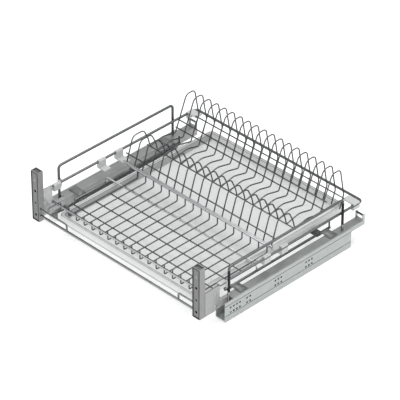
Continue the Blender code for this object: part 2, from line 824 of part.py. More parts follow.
def clip(name, side, setback, tongue, parent):
    """A snap clip round the perimeter rod. A tongue, as its top and its inner end, holds a rack."""
    low = clip_plain_bottom
    shelf = []
    if tongue:
        tongue_top, tongue_end = tongue
        tongue_under = tongue_top - clip_tongue_thickness
        shelf = [
            (clip_inner, tongue_top),
            (tongue_end, tongue_top),
            (tongue_end, tongue_under),
        ]
        if tongue_under > low:
            shelf.append((clip_inner, tongue_under))
        low = min(low, tongue_under)
    if tongue and tongue_top > clip_top - clip_chamfer:
        outline = [(clip_outer, clip_top), (clip_inner, clip_top)]
    else:
        outline = [
            (clip_outer, clip_top - clip_chamfer),
            (clip_outer - clip_chamfer, clip_top),
            (clip_inner + clip_chamfer, clip_top),
            (clip_inner, clip_top - clip_chamfer),
        ]
    outline += shelf
    if not tongue or tongue_under > low:
        outline.append((clip_inner, low))
    outline.append((clip_outer, low))
    mouth = math.acos((clip_outer - perimeter_x) / clip_bore_radius)
    for step in range(clip_bore_steps + 1):
        angle = -mouth - (2 * math.pi - 2 * mouth) * step / clip_bore_steps
        x = perimeter_x + clip_bore_radius * math.cos(angle)
        z = perimeter_height + clip_bore_radius * math.sin(angle)
        outline.append((x, z))
    middle = front_y + setback
    low_y, high_y = middle - clip_length / 2, middle + clip_length / 2
    bm = extruded([(side * x, z) for x, z in outline], low_y, high_y, (0, 2))
    placed(name, mesh_of(bm, name), clip_plastic, parent)


# Drip tray

def rounded_rectangle(half_x, low_y, high_y, radius, z):
    """A ring of points at height z."""
    points = []
    centres = (
        (half_x - radius, high_y - radius, 0),
        (-half_x + radius, high_y - radius, 1),
        (-half_x + radius, low_y + radius, 2),
        (half_x - radius, low_y + radius, 3),
    )
    for x, y, quarter in centres:
        for step in range(tray_corner_steps + 1):
            angle = (quarter + step / tray_corner_steps) * math.pi / 2
            points.append((x + radius * math.cos(angle), y + radius * math.sin(angle), z))
    return points


def drip_tray(parent):
    """A shallow pan with a narrow flange round its top."""

    def ring(offset, z):
        """A ring of the pan's wall, set out from its body by offset."""
        return rounded_rectangle(
            tray_half_width + offset, tray_front - offset, tray_rear + offset, tray_corner_radius + offset, z
        )

    bm = lofted(
        [
            ring(0, tray_bottom),
            ring(0, tray_top - tray_wall),
            ring(tray_flange, tray_top - tray_wall),
            ring(tray_flange, tray_top),
            ring(-tray_wall, tray_top),
            ring(-tray_wall, tray_bottom + tray_wall),
        ]
    )
    placed("drip_tray", mesh_of(bm, "drip_tray"), tray_plastic, parent)


# Cup rack

def wire_x(index):
    """The place of one wire across the rack, counted from the left."""
    return (index - (cup_wire_count - 1) / 2) * cup_wire_pitch


def cup_rack(parent):
    """One welded grille: long wires with turned-up ends, laid on cross wires and held by two rims."""
    stub_top = cup_rear_rim_height + wire_weld
    paths = []
    for index in range(cup_border_index + 1, cup_wire_count):
        corners = [
            (cup_hook_y, cup_hook_top, 0, 0),
            (cup_hook_y, cup_floor_height, cup_bend_radius, 2),
            (cup_stub_y, cup_floor_height, cup_bend_radius, 2),
            (cup_stub_y, stub_top, 0, 0),
        ]
        paths.append([(wire_x(index), y, z) for y, z in rounded_path(corners)])
    outer_x = wire_x(cup_border_index - 1)
    first_cross = front_y + cup_cross_setbacks[0]
    short_hook = [
        (cup_hook_y, cup_hook_top, 0, 0),
        (cup_hook_y, cup_floor_height, cup_bend_radius, 2),
        (first_cross + wire_diameter, cup_floor_height, 0, 0),
    ]
    paths.append([(outer_x, y, z) for y, z in rounded_path(short_hook)])
    paths.append([(outer_x, cup_stub_y, cup_floor_height), (outer_x, cup_stub_y, stub_top)])
    long_wires = rod_bmesh(paths, wire_radius, wire_resolution)
    piece = placed("cup_rack", mesh_of(long_wires, "cup_rack"), chrome, parent)

    border_x = wire_x(cup_border_index)
    border_z = cup_floor_height - wire_radius + border_wire_radius
    border_front = cup_hook_y + border_wire_radius - wire_radius
    border_rear = cup_stub_y - border_wire_radius + wire_radius
    border_corners = [
        (border_front, cup_hook_top, 0, 0),
        (border_front, border_z, cup_bend_radius, 2),
        (border_rear, border_z, cup_bend_radius, 2),
        (border_rear, stub_top, 0, 0),
    ]
    border_path = [(border_x, y, z) for y, z in rounded_path(border_corners)]
    border = rod_bmesh([border_path], border_wire_radius, wire_resolution)
    operand = hidden_operand("cup_border_wire", mesh_of(border, "cup_border_wire"), parent)

    right_end = wire_x(cup_wire_count - 1) + cup_cross_overhang
    cross_paths = []
    for number, setback in enumerate(cup_cross_setbacks):
        left_index = cup_border_index - 1 if number == 0 else cup_border_index
        left_end = wire_x(left_index) - border_wire_radius
        y = front_y + setback
        cross_paths.append([(left_end, y, cup_cross_height), (right_end, y, cup_cross_height)])
    cross_wires = rod_bmesh(cross_paths, wire_radius, wire_resolution)
    cross_operand = hidden_operand("cup_cross_wires", mesh_of(cross_wires, "cup_cross_wires"), parent)

    rim_low = (-plate_wire_half_span, cup_rim_y - cup_rim_thickness / 2, cup_rim_bottom)
    rim_high = (plate_wire_half_span, cup_rim_y + cup_rim_thickness / 2, cup_rim_bottom + cup_rim_height)
    rim = box(rim_low, rim_high)
    rim_operand = hidden_operand("cup_front_rim", mesh_of(rim, "cup_front_rim"), parent)

    rear_ends = (outer_x - wire_radius, wire_x(cup_wire_count - 1) + wire_radius)
    rear_path = [(x, cup_rear_rim_y, cup_rear_rim_height) for x in rear_ends]
    rear_rim = rod_bmesh([rear_path], cup_rear_rim_radius, rod_resolution)
    rear_operand = hidden_operand("cup_rear_rim", mesh_of(rear_rim, "cup_rear_rim"), parent)
    for part in (cross_operand, operand, rim_operand, rear_operand):
        boolean(piece, part, "UNION")


# Plate rack

def plate_corner(index):
    """One corner of the plate wire, as its place along Y and Z."""
    y_share, z_share = plate_corner_shares[index][:2]
    y = plate_rack_front + y_share * plate_rack_depth
    return Vector((y, plate_rack_base + z_share * plate_rack_height))


def beside_leg(leg, height, offset):
    """The point at this height on a leg of the plate wire, moved square to the leg by offset."""
    low, high = sorted((plate_corner(leg[0]), plate_corner(leg[1])), key=lambda corner: corner.y)
    along = (high - low).normalized()
    on_leg = low + along * (height - low.y) / along.y
    return on_leg + Vector((along.y, -along.x)) * offset


def plate_rack(parent):
    """Nineteen bent wires side by side, and the cross wires that are welded outside their valley."""
    corners = []
    for index, (_, _, radius_share, steps) in enumerate(plate_corner_shares):
        place = plate_corner(index)
        corners.append((place.x, place.y, radius_share * plate_rack_depth, steps))
    path = [(0, y, z) for y, z in rounded_path(corners)]
    wire = rod_curve("plate_wire", [path], wire_radius, wire_resolution)
    for index in range(plate_wire_count):
        placed(f"plate_wire_{index + 1:02d}", wire, chrome, parent, (wire_x(index), 0, 0))

    beside = wire_diameter + seat_gap
    beside_rim = wire_radius + plate_rim_radius + seat_gap
    rim_share = (plate_rim_height - plate_rack_base) / plate_rack_height
    rear_share = (rear_wire_height - plate_rack_base) / plate_rack_height
    crosses = (
        ("plate_front_rim", front_leg, rim_share, -beside_rim, plate_rim_radius, rod_resolution),
        ("plate_mid_wire", front_leg, mid_wire_share, -beside, wire_radius, wire_resolution),
        ("plate_valley_wire", small_arch_rear_leg, valley_wire_share, -beside, wire_radius, wire_resolution),
        ("plate_floor_wire", tall_arch_front_leg, floor_wire_share, beside, wire_radius, wire_resolution),
        ("plate_back_wire", tall_arch_front_leg, back_wire_share, beside, wire_radius, wire_resolution),
        ("plate_rear_wire", tall_arch_rear_leg, rear_share, -beside, wire_radius, wire_resolution),
    )
    for name, leg, height_share, offset, radius, resolution in crosses:
        height = plate_rack_base + height_share * plate_rack_height
        y = beside_leg(leg, height, offset).x
        ends = [(x, y, height) for x in (-plate_cross_half_length, plate_cross_half_length)]
        placed(name, rod_curve(name, [ends], radius, resolution), chrome, parent)


# Assembly

drawer = empty("pull_out_slide")
cup_rack_lift = empty("cup_rack_lift", drawer)
plate_rack_lift = empty("plate_rack_lift", drawer)

for side_label, side_sign in sides:
    cabinet_rail(side_label, side_sign)
    mid_rail(side_label, side_sign)
    drawer_rail(side_label, side_sign, drawer)
    post(side_label, side_sign, drawer)
    post_strip(side_label, side_sign, drawer)
    side_bracket(side_label, side_sign, drawer)
    front_coupler(side_label, side_sign, drawer)
    release_lever(side_label, side_sign, drawer)
    gallery_rail(side_label, side_sign, drawer)
    side_carrier(side_label, side_sign, drawer)
    low_seat = clip_bottom + clip_tongue_thickness
    rim_tongue = (low_seat, clip_tongue_end)
    bar_tongue = (low_seat, clip_bar_tongue_end)
    rear_tongue = (clip_top - seat_gap, clip_tongue_end)
    clip(f"clip_front_{side_label}", side_sign, clip_front_setback, None, drawer)
    clip(f"clip_bar_{side_label}", side_sign, clip_bar_setback, bar_tongue, drawer)
    clip(f"clip_middle_{side_label}", side_sign, clip_middle_setback, rim_tongue, drawer)
    clip(f"clip_rear_{side_label}", side_sign, clip_rear_setback, rear_tongue, drawer)

perimeter_rod(drawer)
front_cross_rod(drawer)
under_crossbar(drawer)
drip_tray(drawer)
cup_rack(cup_rack_lift)
plate_rack(plate_rack_lift)
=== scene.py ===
"""The looks of the pull-out dish rack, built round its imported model.

Each sub-assembly is a class that models its pieces and dresses them in their finish: the runners, the
front posts with their brackets, the frame of bent rods, the clips, the drip tray and the two wire racks.
"""
import logging
import math
from dataclasses import dataclass
from enum import Enum
from typing import Callable, Iterable, Sequence

import bmesh
import bpy
from bmesh.types import BMEdge, BMesh, BMFace, BMVert
from bpy.types import Material, Node, NodeSocket, Object
from mathutils import Matrix, Vector


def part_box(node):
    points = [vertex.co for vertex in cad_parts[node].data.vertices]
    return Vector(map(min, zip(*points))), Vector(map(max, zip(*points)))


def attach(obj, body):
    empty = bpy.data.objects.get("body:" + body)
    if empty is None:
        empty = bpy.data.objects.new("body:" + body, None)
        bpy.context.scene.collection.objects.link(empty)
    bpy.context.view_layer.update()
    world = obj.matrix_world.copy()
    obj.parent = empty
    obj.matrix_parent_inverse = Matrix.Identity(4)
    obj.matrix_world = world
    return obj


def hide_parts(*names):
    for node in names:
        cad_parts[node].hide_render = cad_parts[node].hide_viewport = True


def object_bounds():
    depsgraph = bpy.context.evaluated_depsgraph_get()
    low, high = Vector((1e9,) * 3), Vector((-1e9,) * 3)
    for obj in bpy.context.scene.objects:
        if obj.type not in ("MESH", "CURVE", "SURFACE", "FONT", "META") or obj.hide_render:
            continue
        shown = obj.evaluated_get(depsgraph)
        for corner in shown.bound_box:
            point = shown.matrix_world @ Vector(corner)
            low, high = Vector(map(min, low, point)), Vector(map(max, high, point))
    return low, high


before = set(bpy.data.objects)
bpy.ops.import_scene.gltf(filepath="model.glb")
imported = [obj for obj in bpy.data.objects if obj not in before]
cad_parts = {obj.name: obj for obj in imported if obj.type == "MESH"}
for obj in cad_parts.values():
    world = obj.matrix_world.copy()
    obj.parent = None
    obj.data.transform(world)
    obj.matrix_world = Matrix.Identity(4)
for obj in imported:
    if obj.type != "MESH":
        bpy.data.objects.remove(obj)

log = logging.getLogger("dish_rack")
cad_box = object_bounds()

Pair = tuple[float, float]
Triple = tuple[float, float, float]

X_AXIS = Vector((1, 0, 0))
Y_AXIS = Vector((0, 1, 0))
Z_AXIS = Vector((0, 0, 1))
ALONG_X, ALONG_Y, ALONG_Z = range(3)
FULL_TURN = 2 * math.pi
WELD_DISTANCE = 1e-6
MATCH_DISTANCE = 1e-5
LEVEL_DISTANCE = 1e-4
# A face looks along an axis when this much of its unit normal does.
SQUARE_ON = 0.9
BEND_STEP = math.radians(9)
SMOOTH_ANGLE = math.radians(35)
HARD_ANGLE = math.radians(40)
ROD_RADIUS = 0.003
ROD_SIDES = 16
WIRE_SIDES = 12
PIN_SIDES = 20
BORE_SIDES = 28
# The rounding of a rod's ends, as a share of its radius.
END_ROUNDING = 0.35
# The part of a noise's range that colours and roughness are spread over.
NOISE_LOW, NOISE_HIGH = 0.3, 0.7
# The depth of a cut, as a share of the sheet that it goes through.
CUT_THROUGH = 3
WHITE = (1, 1, 1, 1)


class Body(Enum):
    """The moving bodies of the rack."""

    CABINET = "cabinet_rails"
    MID_LEFT = "mid_left"
    MID_RIGHT = "mid_right"
    DRAWER = "drawer"
    LEVER_LEFT = "lever_left"
    LEVER_RIGHT = "lever_right"
    CUP_RACK = "cup_rack"
    PLATE_RACK = "plate_rack"


class Slot(Enum):
    """The record's material slots."""

    WIRE = "chrome_wire"
    ROD = "rod_steel"
    SHEET = "zinc_steel"
    POST = "post_metal"
    STRIP = "strip_dark"
    CLIP = "clip_plastic"
    COUPLER = "coupler_plastic"
    TRAY = "tray_plastic"


class Side(Enum):
    """The two sides of the rack, as the sign of X."""

    LEFT = -1
    RIGHT = 1

    @property
    def label(self) -> str:
        """The side's name in lower case."""
        return self.name.lower()

    @property
    def mid_body(self) -> Body:
        """The body of this side's middle rail."""
        return Body.MID_LEFT if self is Side.LEFT else Body.MID_RIGHT

    @property
    def lever_body(self) -> Body:
        """The body of this side's release lever."""
        return Body.LEVER_LEFT if self is Side.LEFT else Body.LEVER_RIGHT


# Finishes


class NodeSheet:
    """A material's node tree, written a node at a time."""

    def __init__(self, name: str, **inputs: object) -> None:
        """Starts a material with one Principled shader.

        Args:
            name: the material's name.
            inputs: the shader's inputs, with underscores for spaces.
        """
        self.material = bpy.data.materials.new(name)
        self.material.use_nodes = True
        self.tree = self.material.node_tree
        self.shader = self.tree.nodes["Principled BSDF"]
        self.coordinates = self.tree.nodes.new("ShaderNodeTexCoord").outputs["Object"]
        for key, value in inputs.items():
            self.shader.inputs[key.replace("_", " ")].default_value = value

    def node(self, kind: str, **settings: object) -> Node:
        """Adds a node and sets its properties, or its inputs where it has no such property.

        Args:
            kind: the node's type, without the ShaderNode prefix.
            settings: properties, or inputs with underscores for spaces.

        Returns:
            The new node.
        """
        made = self.tree.nodes.new("ShaderNode" + kind)
        for key, value in settings.items():
            if hasattr(made, key):
                setattr(made, key, value)
            else:
                made.inputs[key.replace("_", " ")].default_value = value
        return made

    def link(self, source: NodeSocket, target: NodeSocket) -> None:
        """Joins two sockets."""
        self.tree.links.new(source, target)

    def texture(self, kind: str, output: str, stretch: Triple, **settings: float) -> NodeSocket:
        """Adds a texture on the object's own coordinates.

        Args:
            kind: the texture's node type.
            output: the output that is used.
            stretch: factors on the coordinates along each axis.
            settings: the texture's inputs.

        Returns:
            The texture's output.
        """
        mapping = self.node("Mapping", Scale=stretch)
        self.link(self.coordinates, mapping.inputs["Vector"])
        made = self.node(kind, **settings)
        self.link(mapping.outputs["Vector"], made.inputs["Vector"])
        return made.outputs[output]

    def noise(self, scale: float, detail: float = 3.0, stretch: Triple = (1, 1, 1)) -> NodeSocket:
        """A noise value with this many features per metre, and this many octaves."""
        return self.texture("TexNoise", "Fac", stretch, Scale=scale, Detail=detail)

    def tint(self, value: NodeSocket, dark: Triple, light: Triple) -> None:
        """Colours the surface between two colours.

        Args:
            value: the value that chooses between them.
            dark: the colour at the low end of a noise.
            light: the colour at its high end.
        """
        ramp = self.node("ValToRGB")
        ends = zip(ramp.color_ramp.elements, (NOISE_LOW, NOISE_HIGH), (dark, light))
        for element, position, colour in ends:
            element.position = position
            element.color = (*colour, 1)
        self.link(value, ramp.inputs["Fac"])
        self.link(ramp.outputs["Color"], self.shader.inputs["Base Color"])

    def roughen(self, value: NodeSocket, low: float, high: float) -> None:
        """Varies the surface's roughness.

        Args:
            value: the value that it follows.
            low: the roughness at the low end of a noise.
            high: the roughness at its high end.
        """
        made = self.node("MapRange", From_Min=NOISE_LOW, From_Max=NOISE_HIGH, To_Min=low, To_Max=high)
        self.link(value, made.inputs["Value"])
        self.link(made.outputs["Result"], self.shader.inputs["Roughness"])

    def bump(self, height: NodeSocket, strength: float, distance: float) -> None:
        """Feeds a height to the shader's normal.

        Args:
            height: the height's socket.
            strength: the bump's strength.
            distance: its depth in metres.
        """
        made = self.node("Bump", Strength=strength, Distance=distance)
        self.link(height, made.inputs["Height"])
        self.link(made.outputs["Normal"], self.shader.inputs["Normal"])


@dataclass(frozen=True)
class Finish:
    """What a surface is made of and how it was worked."""

    name: str
    slot: Slot
    colour: Triple
    metallic: float
    roughness: float
    variation: float = 0.06
    spread: Pair = (0.9, 1.1)
    relief: float = 0.2
    relief_depth: float = 0.00005

    def shade(self, factor: float) -> Triple:
        """The finish's colour times a factor."""
        return tuple(min(1.0, channel * factor) for channel in self.colour)

    def material(self) -> Material:
        """The finish as a material, made once.

        Returns:
            The material, new or already there.
        """
        known = bpy.data.materials.get(self.name)
        if known is not None:
            return known
        sheet = NodeSheet(self.name, Metallic=self.metallic, Roughness=self.roughness)
        self.work(sheet)
        return sheet.material

    def work(self, sheet: NodeSheet) -> None:
        """Adds the finish's own detail to the sheet."""
        raise NotImplementedError

    def vary(self, sheet: NodeSheet, cloud: NodeSocket, wear: NodeSocket, grain: NodeSocket) -> None:
        """Varies the surface, each of its properties by a value of its own.

        Args:
            sheet: the material's nodes.
            cloud: the value that its colour follows.
            wear: the value that its roughness follows.
            grain: the value that its relief follows.
        """
        sheet.tint(cloud, self.shade(1 - self.variation), self.shade(1 + self.variation))
        sheet.roughen(wear, self.roughness * self.spread[0], self.roughness * self.spread[1])
        sheet.bump(grain, self.relief, self.relief_depth)


@dataclass(frozen=True)
class PlatedFinish(Finish):
    """Bright plating on wire or rod, with faint clouds, water marks and a darker edge."""

    spread: Pair = (0.75, 1.35)
    relief: float = 0.10
    relief_depth: float = 0.00004
    cloud_scale: float = 45.0
    mark_scale: float = 270.0
    grain_scale: float = 2600.0
    edge_tint: float = 0.35

    def work(self, sheet: NodeSheet) -> None:
        """Clouds the colour, marks the shine and adds the plating's fine grain.

        Args:
            sheet: the material's nodes.
        """
        tint = self.edge_tint
        sheet.shader.inputs["Specular Tint"].default_value = (tint, tint, tint, 1)
        clouds = sheet.noise(self.cloud_scale, detail=4)
        marks = sheet.noise(self.mark_scale, detail=2)
        self.vary(sheet, clouds, marks, sheet.noise(self.grain_scale, detail=2))


@dataclass(frozen=True)
class RolledFinish(Finish):
    """Zinc-plated sheet steel with rolling marks along Y and a faint crystal pattern."""

    spread: Pair = (0.85, 1.2)
    relief: float = 0.15
    crystal_scale: float = 160.0
    crystal_stretch: Triple = (1, 0.6, 1)
    crystal_share: float = 0.35
    line_scale: float = 900.0
    line_stretch: Triple = (1, 0.012, 1)

    def work(self, sheet: NodeSheet) -> None:
        """Blends rolling lines and crystals.

        Args:
            sheet: the material's nodes.
        """
        lines = sheet.noise(self.line_scale, detail=4, stretch=self.line_stretch)
        crystals = sheet.texture("TexVoronoi", "Color", self.crystal_stretch, Scale=self.crystal_scale)
        parted = sheet.node("SeparateColor")
        sheet.link(crystals, parted.inputs["Color"])
        blend = sheet.node("Mix", data_type="FLOAT")
        share, first, second = blend.inputs[0], blend.inputs[2], blend.inputs[3]
        share.default_value = self.crystal_share
        sheet.link(lines, first)
        sheet.link(parted.outputs["Red"], second)
        self.vary(sheet, blend.outputs[0], blend.outputs[0], lines)


@dataclass(frozen=True)
class CoatedFinish(Finish):
    """A stoved satin coat with a fine orange peel."""

    relief_depth: float = 0.00006
    peel_scale: float = 1400.0
    mottle_scale: float = 60.0

    def work(self, sheet: NodeSheet) -> None:
        """Mottles the coat and gives it its peel."""
        mottle = sheet.noise(self.mottle_scale, detail=5)
        self.vary(sheet, mottle, mottle, sheet.noise(self.peel_scale, detail=2))


@dataclass(frozen=True)
class MouldedFinish(Finish):
    """Moulded plastic with a spark-eroded grain and faint flow marks."""

    spread: Pair = (0.9, 1.15)
    relief: float = 0.25
    grain_scale: float = 2200.0
    flow_scale: float = 35.0
    flow_stretch: Triple = (1, 0.4, 1)

    def work(self, sheet: NodeSheet) -> None:
        """Adds the flow marks and the grain."""
        grain = sheet.noise(self.grain_scale, detail=2)
        self.vary(sheet, sheet.noise(self.flow_scale, stretch=self.flow_stretch), grain, grain)


WIRE_CHROME = PlatedFinish("wire_chrome", Slot.WIRE, (0.12, 0.125, 0.13), 1.0, 0.24, edge_tint=0.1)
ROD_CHROME = PlatedFinish("rod_chrome", Slot.ROD, (0.16, 0.165, 0.17), 1.0, 0.24, edge_tint=0.05)
# A near-black chrome: painted shade on the right gallery legs, and the carrier pin's colour.
DARK_CHROME = PlatedFinish("dark_rod_chrome", Slot.ROD, (0.035, 0.036, 0.038), 1.0, 0.22, edge_tint=0.05)
# A paler chrome that is painted reflection: the front cross rod's lower faces and the right legs' feet.
PAINTED_SHEEN_CHROME = PlatedFinish("bar_chrome", Slot.ROD, (0.37, 0.375, 0.38), 1.0, 0.28, edge_tint=0.05)
# A pale chrome that is painted highlight: the crossbar and the cross wire over it.
PAINTED_HIGHLIGHT_CHROME = PlatedFinish("painted_highlight_chrome", Slot.ROD, (0.66, 0.665, 0.67), 1.0, 0.3, edge_tint=0.3)
RIM_CHROME = PlatedFinish("rim_chrome", Slot.WIRE, (0.50, 0.51, 0.52), 1.0, 0.30, edge_tint=0.05)
RAIL_ZINC = RolledFinish("rail_zinc", Slot.SHEET, (0.44, 0.465, 0.455), 0.6, 0.38)
# Painted shade: the drawer rails' top faces.
PAINTED_SHADE_TOP_ZINC = RolledFinish("painted_shade_top_zinc", Slot.SHEET, (0.29, 0.30, 0.297), 0.6, 0.42)
# Painted light: the drawer rails' inward faces, paler and less metallic than the zinc.
PAINTED_LIGHT_FLANGE_ZINC = RolledFinish("painted_light_flange_zinc", Slot.SHEET, (0.37, 0.375, 0.37), 0.2, 0.5)
# Painted light: the middle rails and the cabinet rails' inward faces, near white.
PAINTED_LIGHT_ZINC = RolledFinish("painted_light_zinc", Slot.SHEET, (0.92, 0.93, 0.92), 0.1, 0.5)
# Painted shade: the cabinet rails' creases, screw holes and slots, and the bracket's top.
PAINTED_SHADE_ZINC = RolledFinish("painted_shade_zinc", Slot.SHEET, (0.05, 0.052, 0.052), 0.6, 0.45)
BRACKET_ZINC = RolledFinish("bracket_zinc", Slot.SHEET, (0.39, 0.40, 0.40), 0.6, 0.42)
# Painted light: the brackets' inward faces.
PAINTED_LIGHT_BRACKET_ZINC = RolledFinish("painted_light_bracket_zinc", Slot.SHEET, (0.72, 0.73, 0.73), 0.2, 0.45)
STRAP_ZINC = RolledFinish("strap_zinc", Slot.SHEET, (0.20, 0.205, 0.205), 0.6, 0.42)
SCREW_STEEL = PlatedFinish("screw_steel", Slot.SHEET, (0.45, 0.45, 0.46), 1.0, 0.3)
POST_COAT = CoatedFinish("post_coat", Slot.POST, (0.30, 0.30, 0.305), 0.1, 0.45)
# Painted shade: the hollow in each post's top.
CAP_SHADE_COAT = CoatedFinish("cap_painted_shade_coat", Slot.POST, (0.17, 0.17, 0.172), 0.1, 0.5)
# Painted shade: each post's front rim and recess, and the walls of the strip's holes.
RECESS_SHADE_COAT = CoatedFinish("recess_painted_shade_coat", Slot.POST, (0.025, 0.025, 0.026), 0.1, 0.5)
STRIP_COAT = CoatedFinish("strip_coat", Slot.STRIP, (0.22, 0.22, 0.225), 0.1, 0.5)
CLIP_PLASTIC = MouldedFinish("clip_grey", Slot.CLIP, (0.60, 0.61, 0.605), 0.0, 0.5)
COUPLER_PLASTIC = MouldedFinish("coupler_grey", Slot.COUPLER, (0.42, 0.425, 0.43), 0.0, 0.5)
TRAY_PLASTIC = MouldedFinish("tray_grey", Slot.TRAY, (0.86, 0.865, 0.86), 0.0, 0.42, variation=0.02)
# A darker grey on the tray rim's channel, and painted shade on the tray walls under the skirt.
TRAY_CHANNEL_AND_SHADE = MouldedFinish("tray_channel_grey_and_painted_shade", Slot.TRAY, (0.60, 0.605, 0.60), 0.0, 0.5)
# Painted shade: the tray's inner side walls.
TRAY_SIDE_SHADE = MouldedFinish("tray_side_painted_shade", Slot.TRAY, (0.46, 0.465, 0.46), 0.0, 0.5)
# Painted shade: the two grooves in the tray's rim.
TRAY_LINE_SHADE = MouldedFinish("tray_line_painted_shade", Slot.TRAY, (0.10, 0.102, 0.10), 0.0, 0.5)


# Building blocks


@dataclass(frozen=True)
class Corner:
    """One corner of a bent rod's path, and its bend's radius along the rod's middle."""

    point: Vector
    radius: float = 0.0


def anything(item: object) -> bool:
    """Lets every item pass."""
    return True


def verts_of(geometry: Iterable[object]) -> list[BMVert]:
    """The vertices in what a mesh operator gives back."""
    return [item for item in geometry if isinstance(item, BMVert)]


def edges_along(
    bm: BMesh, axis: int, least: float, where: Callable[[BMEdge], bool] = anything
) -> list[BMEdge]:
    """The edges that run along an axis for more than a length.

    Args:
        bm: the mesh.
        axis: the axis.
        least: the length.
        where: a further test that an edge has to pass.

    Returns:
        Those edges.
    """
    return [
        edge
        for edge in bm.edges
        if abs(edge.verts[0].co[axis] - edge.verts[1].co[axis]) > least and where(edge)
    ]


def rounded(bm: BMesh, edges: Sequence[BMEdge], width: float, steps: int) -> None:
    """Rounds edges off, by a width and in so many steps."""
    bmesh.ops.bevel(
        bm, geom=edges, offset=width, segments=steps, profile=0.5, affect="EDGES", material=-1
    )


def lifted(bm: BMesh, face: BMFace) -> list[BMVert]:
    """Extrudes a face in place, and leaves nothing of the old one inside.

    Args:
        bm: the mesh.
        face: the face.

    Returns:
        The new face's vertices.
    """
    grown = bmesh.ops.extrude_face_region(bm, geom=[face])["geom"]
    bmesh.ops.delete(bm, geom=[face], context="FACES_ONLY")
    return verts_of(grown)


def inside(place: Vector, low: Vector, high: Vector, inset: float, axes: Iterable[int]) -> bool:
    """Whether a place lies in a box, and this far in from its sides, along these axes."""
    return all(low[axis] + inset < place[axis] < high[axis] - inset for axis in axes)


def ring_edges(verts: Iterable[BMVert]) -> list[BMEdge]:
    """The edges whose two ends are both among these vertices, in a steady order."""
    known = dict.fromkeys(verts)
    return list(dict.fromkeys(e for vert in known for e in vert.link_edges if e.other_vert(vert) in known))


def pulled(bm: BMesh, ring: list[BMEdge], reach: Vector) -> list[BMEdge]:
    """Draws a ring of edges out along a straight run.

    Args:
        bm: the mesh.
        ring: the edges at the rod's end.
        reach: how far and which way.

    Returns:
        The ring at the new end.
    """
    verts = verts_of(bmesh.ops.extrude_edge_only(bm, edges=ring)["geom"])
    bmesh.ops.translate(bm, verts=verts, vec=reach)
    return ring_edges(verts)


def turned(axis: Vector, place: Vector) -> Matrix:
    """The matrix that turns Z to an axis and moves the origin to a place."""
    return Matrix.Translation(place) @ Z_AXIS.rotation_difference(axis).to_matrix().to_4x4()


def bent_rod(bm: BMesh, corners: Sequence[Corner], radius: float, segments: int = ROD_SIDES) -> None:
    """Adds a round rod along straight runs and round bends, with softly rounded ends.

    Args:
        bm: the mesh that takes the rod.
        corners: the path's corners from end to end.
        radius: the rod's radius.
        segments: sides round the rod.
    """
    points = [corner.point for corner in corners]
    heading = (points[1] - points[0]).normalized()
    circle = bmesh.ops.create_circle(
        bm, cap_ends=False, segments=segments, radius=radius, matrix=turned(heading, points[0])
    )
    first = ring_edges(circle["verts"])
    ring = first
    here = points[0]
    for index in range(1, len(points) - 1):
        after = (points[index + 1] - points[index]).normalized()
        angle = heading.angle(after)
        bend = corners[index].radius
        setback = bend * math.tan(angle / 2)
        run_end = points[index] - heading * setback
        ring = pulled(bm, ring, run_end - here)
        axis = heading.cross(after).normalized()
        spun = bmesh.ops.spin(
            bm,
            geom=[*dict.fromkeys(vert for edge in ring for vert in edge.verts), *ring],
            cent=run_end + axis.cross(heading) * bend,
            axis=axis,
            angle=angle,
            steps=max(1, round(angle / BEND_STEP)),
            use_duplicate=False,
            use_merge=False,
        )
        ring = ring_edges(verts_of(spun["geom_last"]))
        here = points[index] + after * setback
        heading = after
    last = pulled(bm, ring, points[-1] - here)
    for rim in (first, last):
        bmesh.ops.edgeloop_fill(bm, edges=rim)
        rounded(bm, rim, radius * END_ROUNDING, 2)


def straight_rod(
    bm: BMesh, start: Sequence[float], end: Sequence[float], radius: float, segments: int = ROD_SIDES
) -> None:
    """Adds a straight round rod between two places."""
    bent_rod(bm, [Corner(Vector(start)), Corner(Vector(end))], radius, segments)


def plane_path(corners: Sequence[Triple], across: float, axis: int) -> list[Corner]:
    """Corners in a plane, given as (a, b, bend radius), set at one place along the plane's normal.

    Args:
        corners: the two places in the plane and the bend radius of each corner.
        across: the place along the plane's normal.
        axis: the normal's axis.

    Returns:
        The corners in space.
    """
    found = []
    for first, second, radius in corners:
        place = [first, second]
        place.insert(axis, across)
        found.append(Corner(Vector(place), radius))
    return found


def block(bm: BMesh, low: Sequence[float], high: Sequence[float]) -> list[BMVert]:
    """Adds a box between two opposite corners.

    Args:
        bm: the mesh.
        low: one corner.
        high: the other corner.

    Returns:
        The box's vertices.
    """
    size = [abs(b - a) for a, b in zip(low, high)]
    middle = [(a + b) / 2 for a, b in zip(low, high)]
    matrix = Matrix.Translation(middle) @ Matrix.Diagonal((*size, 1))
    return bmesh.ops.create_cube(bm, size=1, matrix=matrix)["verts"]


def drawn(bm: BMesh, outline: Sequence[Pair], axis: int, low: float, high: float) -> None:
    """Adds a solid with this outline, drawn along an axis.

    Args:
        bm: the mesh.
        outline: places in the plane of the other two axes, in X, Y, Z order.
        axis: the axis that it is drawn along.
        low: where it starts.
        high: where it ends.
    """
    verts = []
    for first, second in outline:
        place = [first, second]
        place.insert(axis, low)
        verts.append(bm.verts.new(place))
    grown = bmesh.ops.extrude_face_region(bm, geom=[bm.faces.new(verts)])["geom"]
    reach = Vector((0, 0, 0))
    reach[axis] = high - low
    bmesh.ops.translate(bm, verts=verts_of(grown), vec=reach)


def round_pins(
    bm: BMesh,
    centres: Iterable[Vector],
    axis: Vector,
    radius: float,
    depth: float,
    segments: int = PIN_SIDES,
) -> None:
    """Adds round pins of one size.

    Args:
        bm: the mesh.
        centres: their middles.
        axis: the way that they point.
        radius: their radius.
        depth: their length.
        segments: sides round each.
    """
    for centre in centres:
        bmesh.ops.create_cone(
            bm,
            cap_ends=True,
            segments=segments,
            radius1=radius,
            radius2=radius,
            depth=depth,
            matrix=turned(axis, centre),
        )


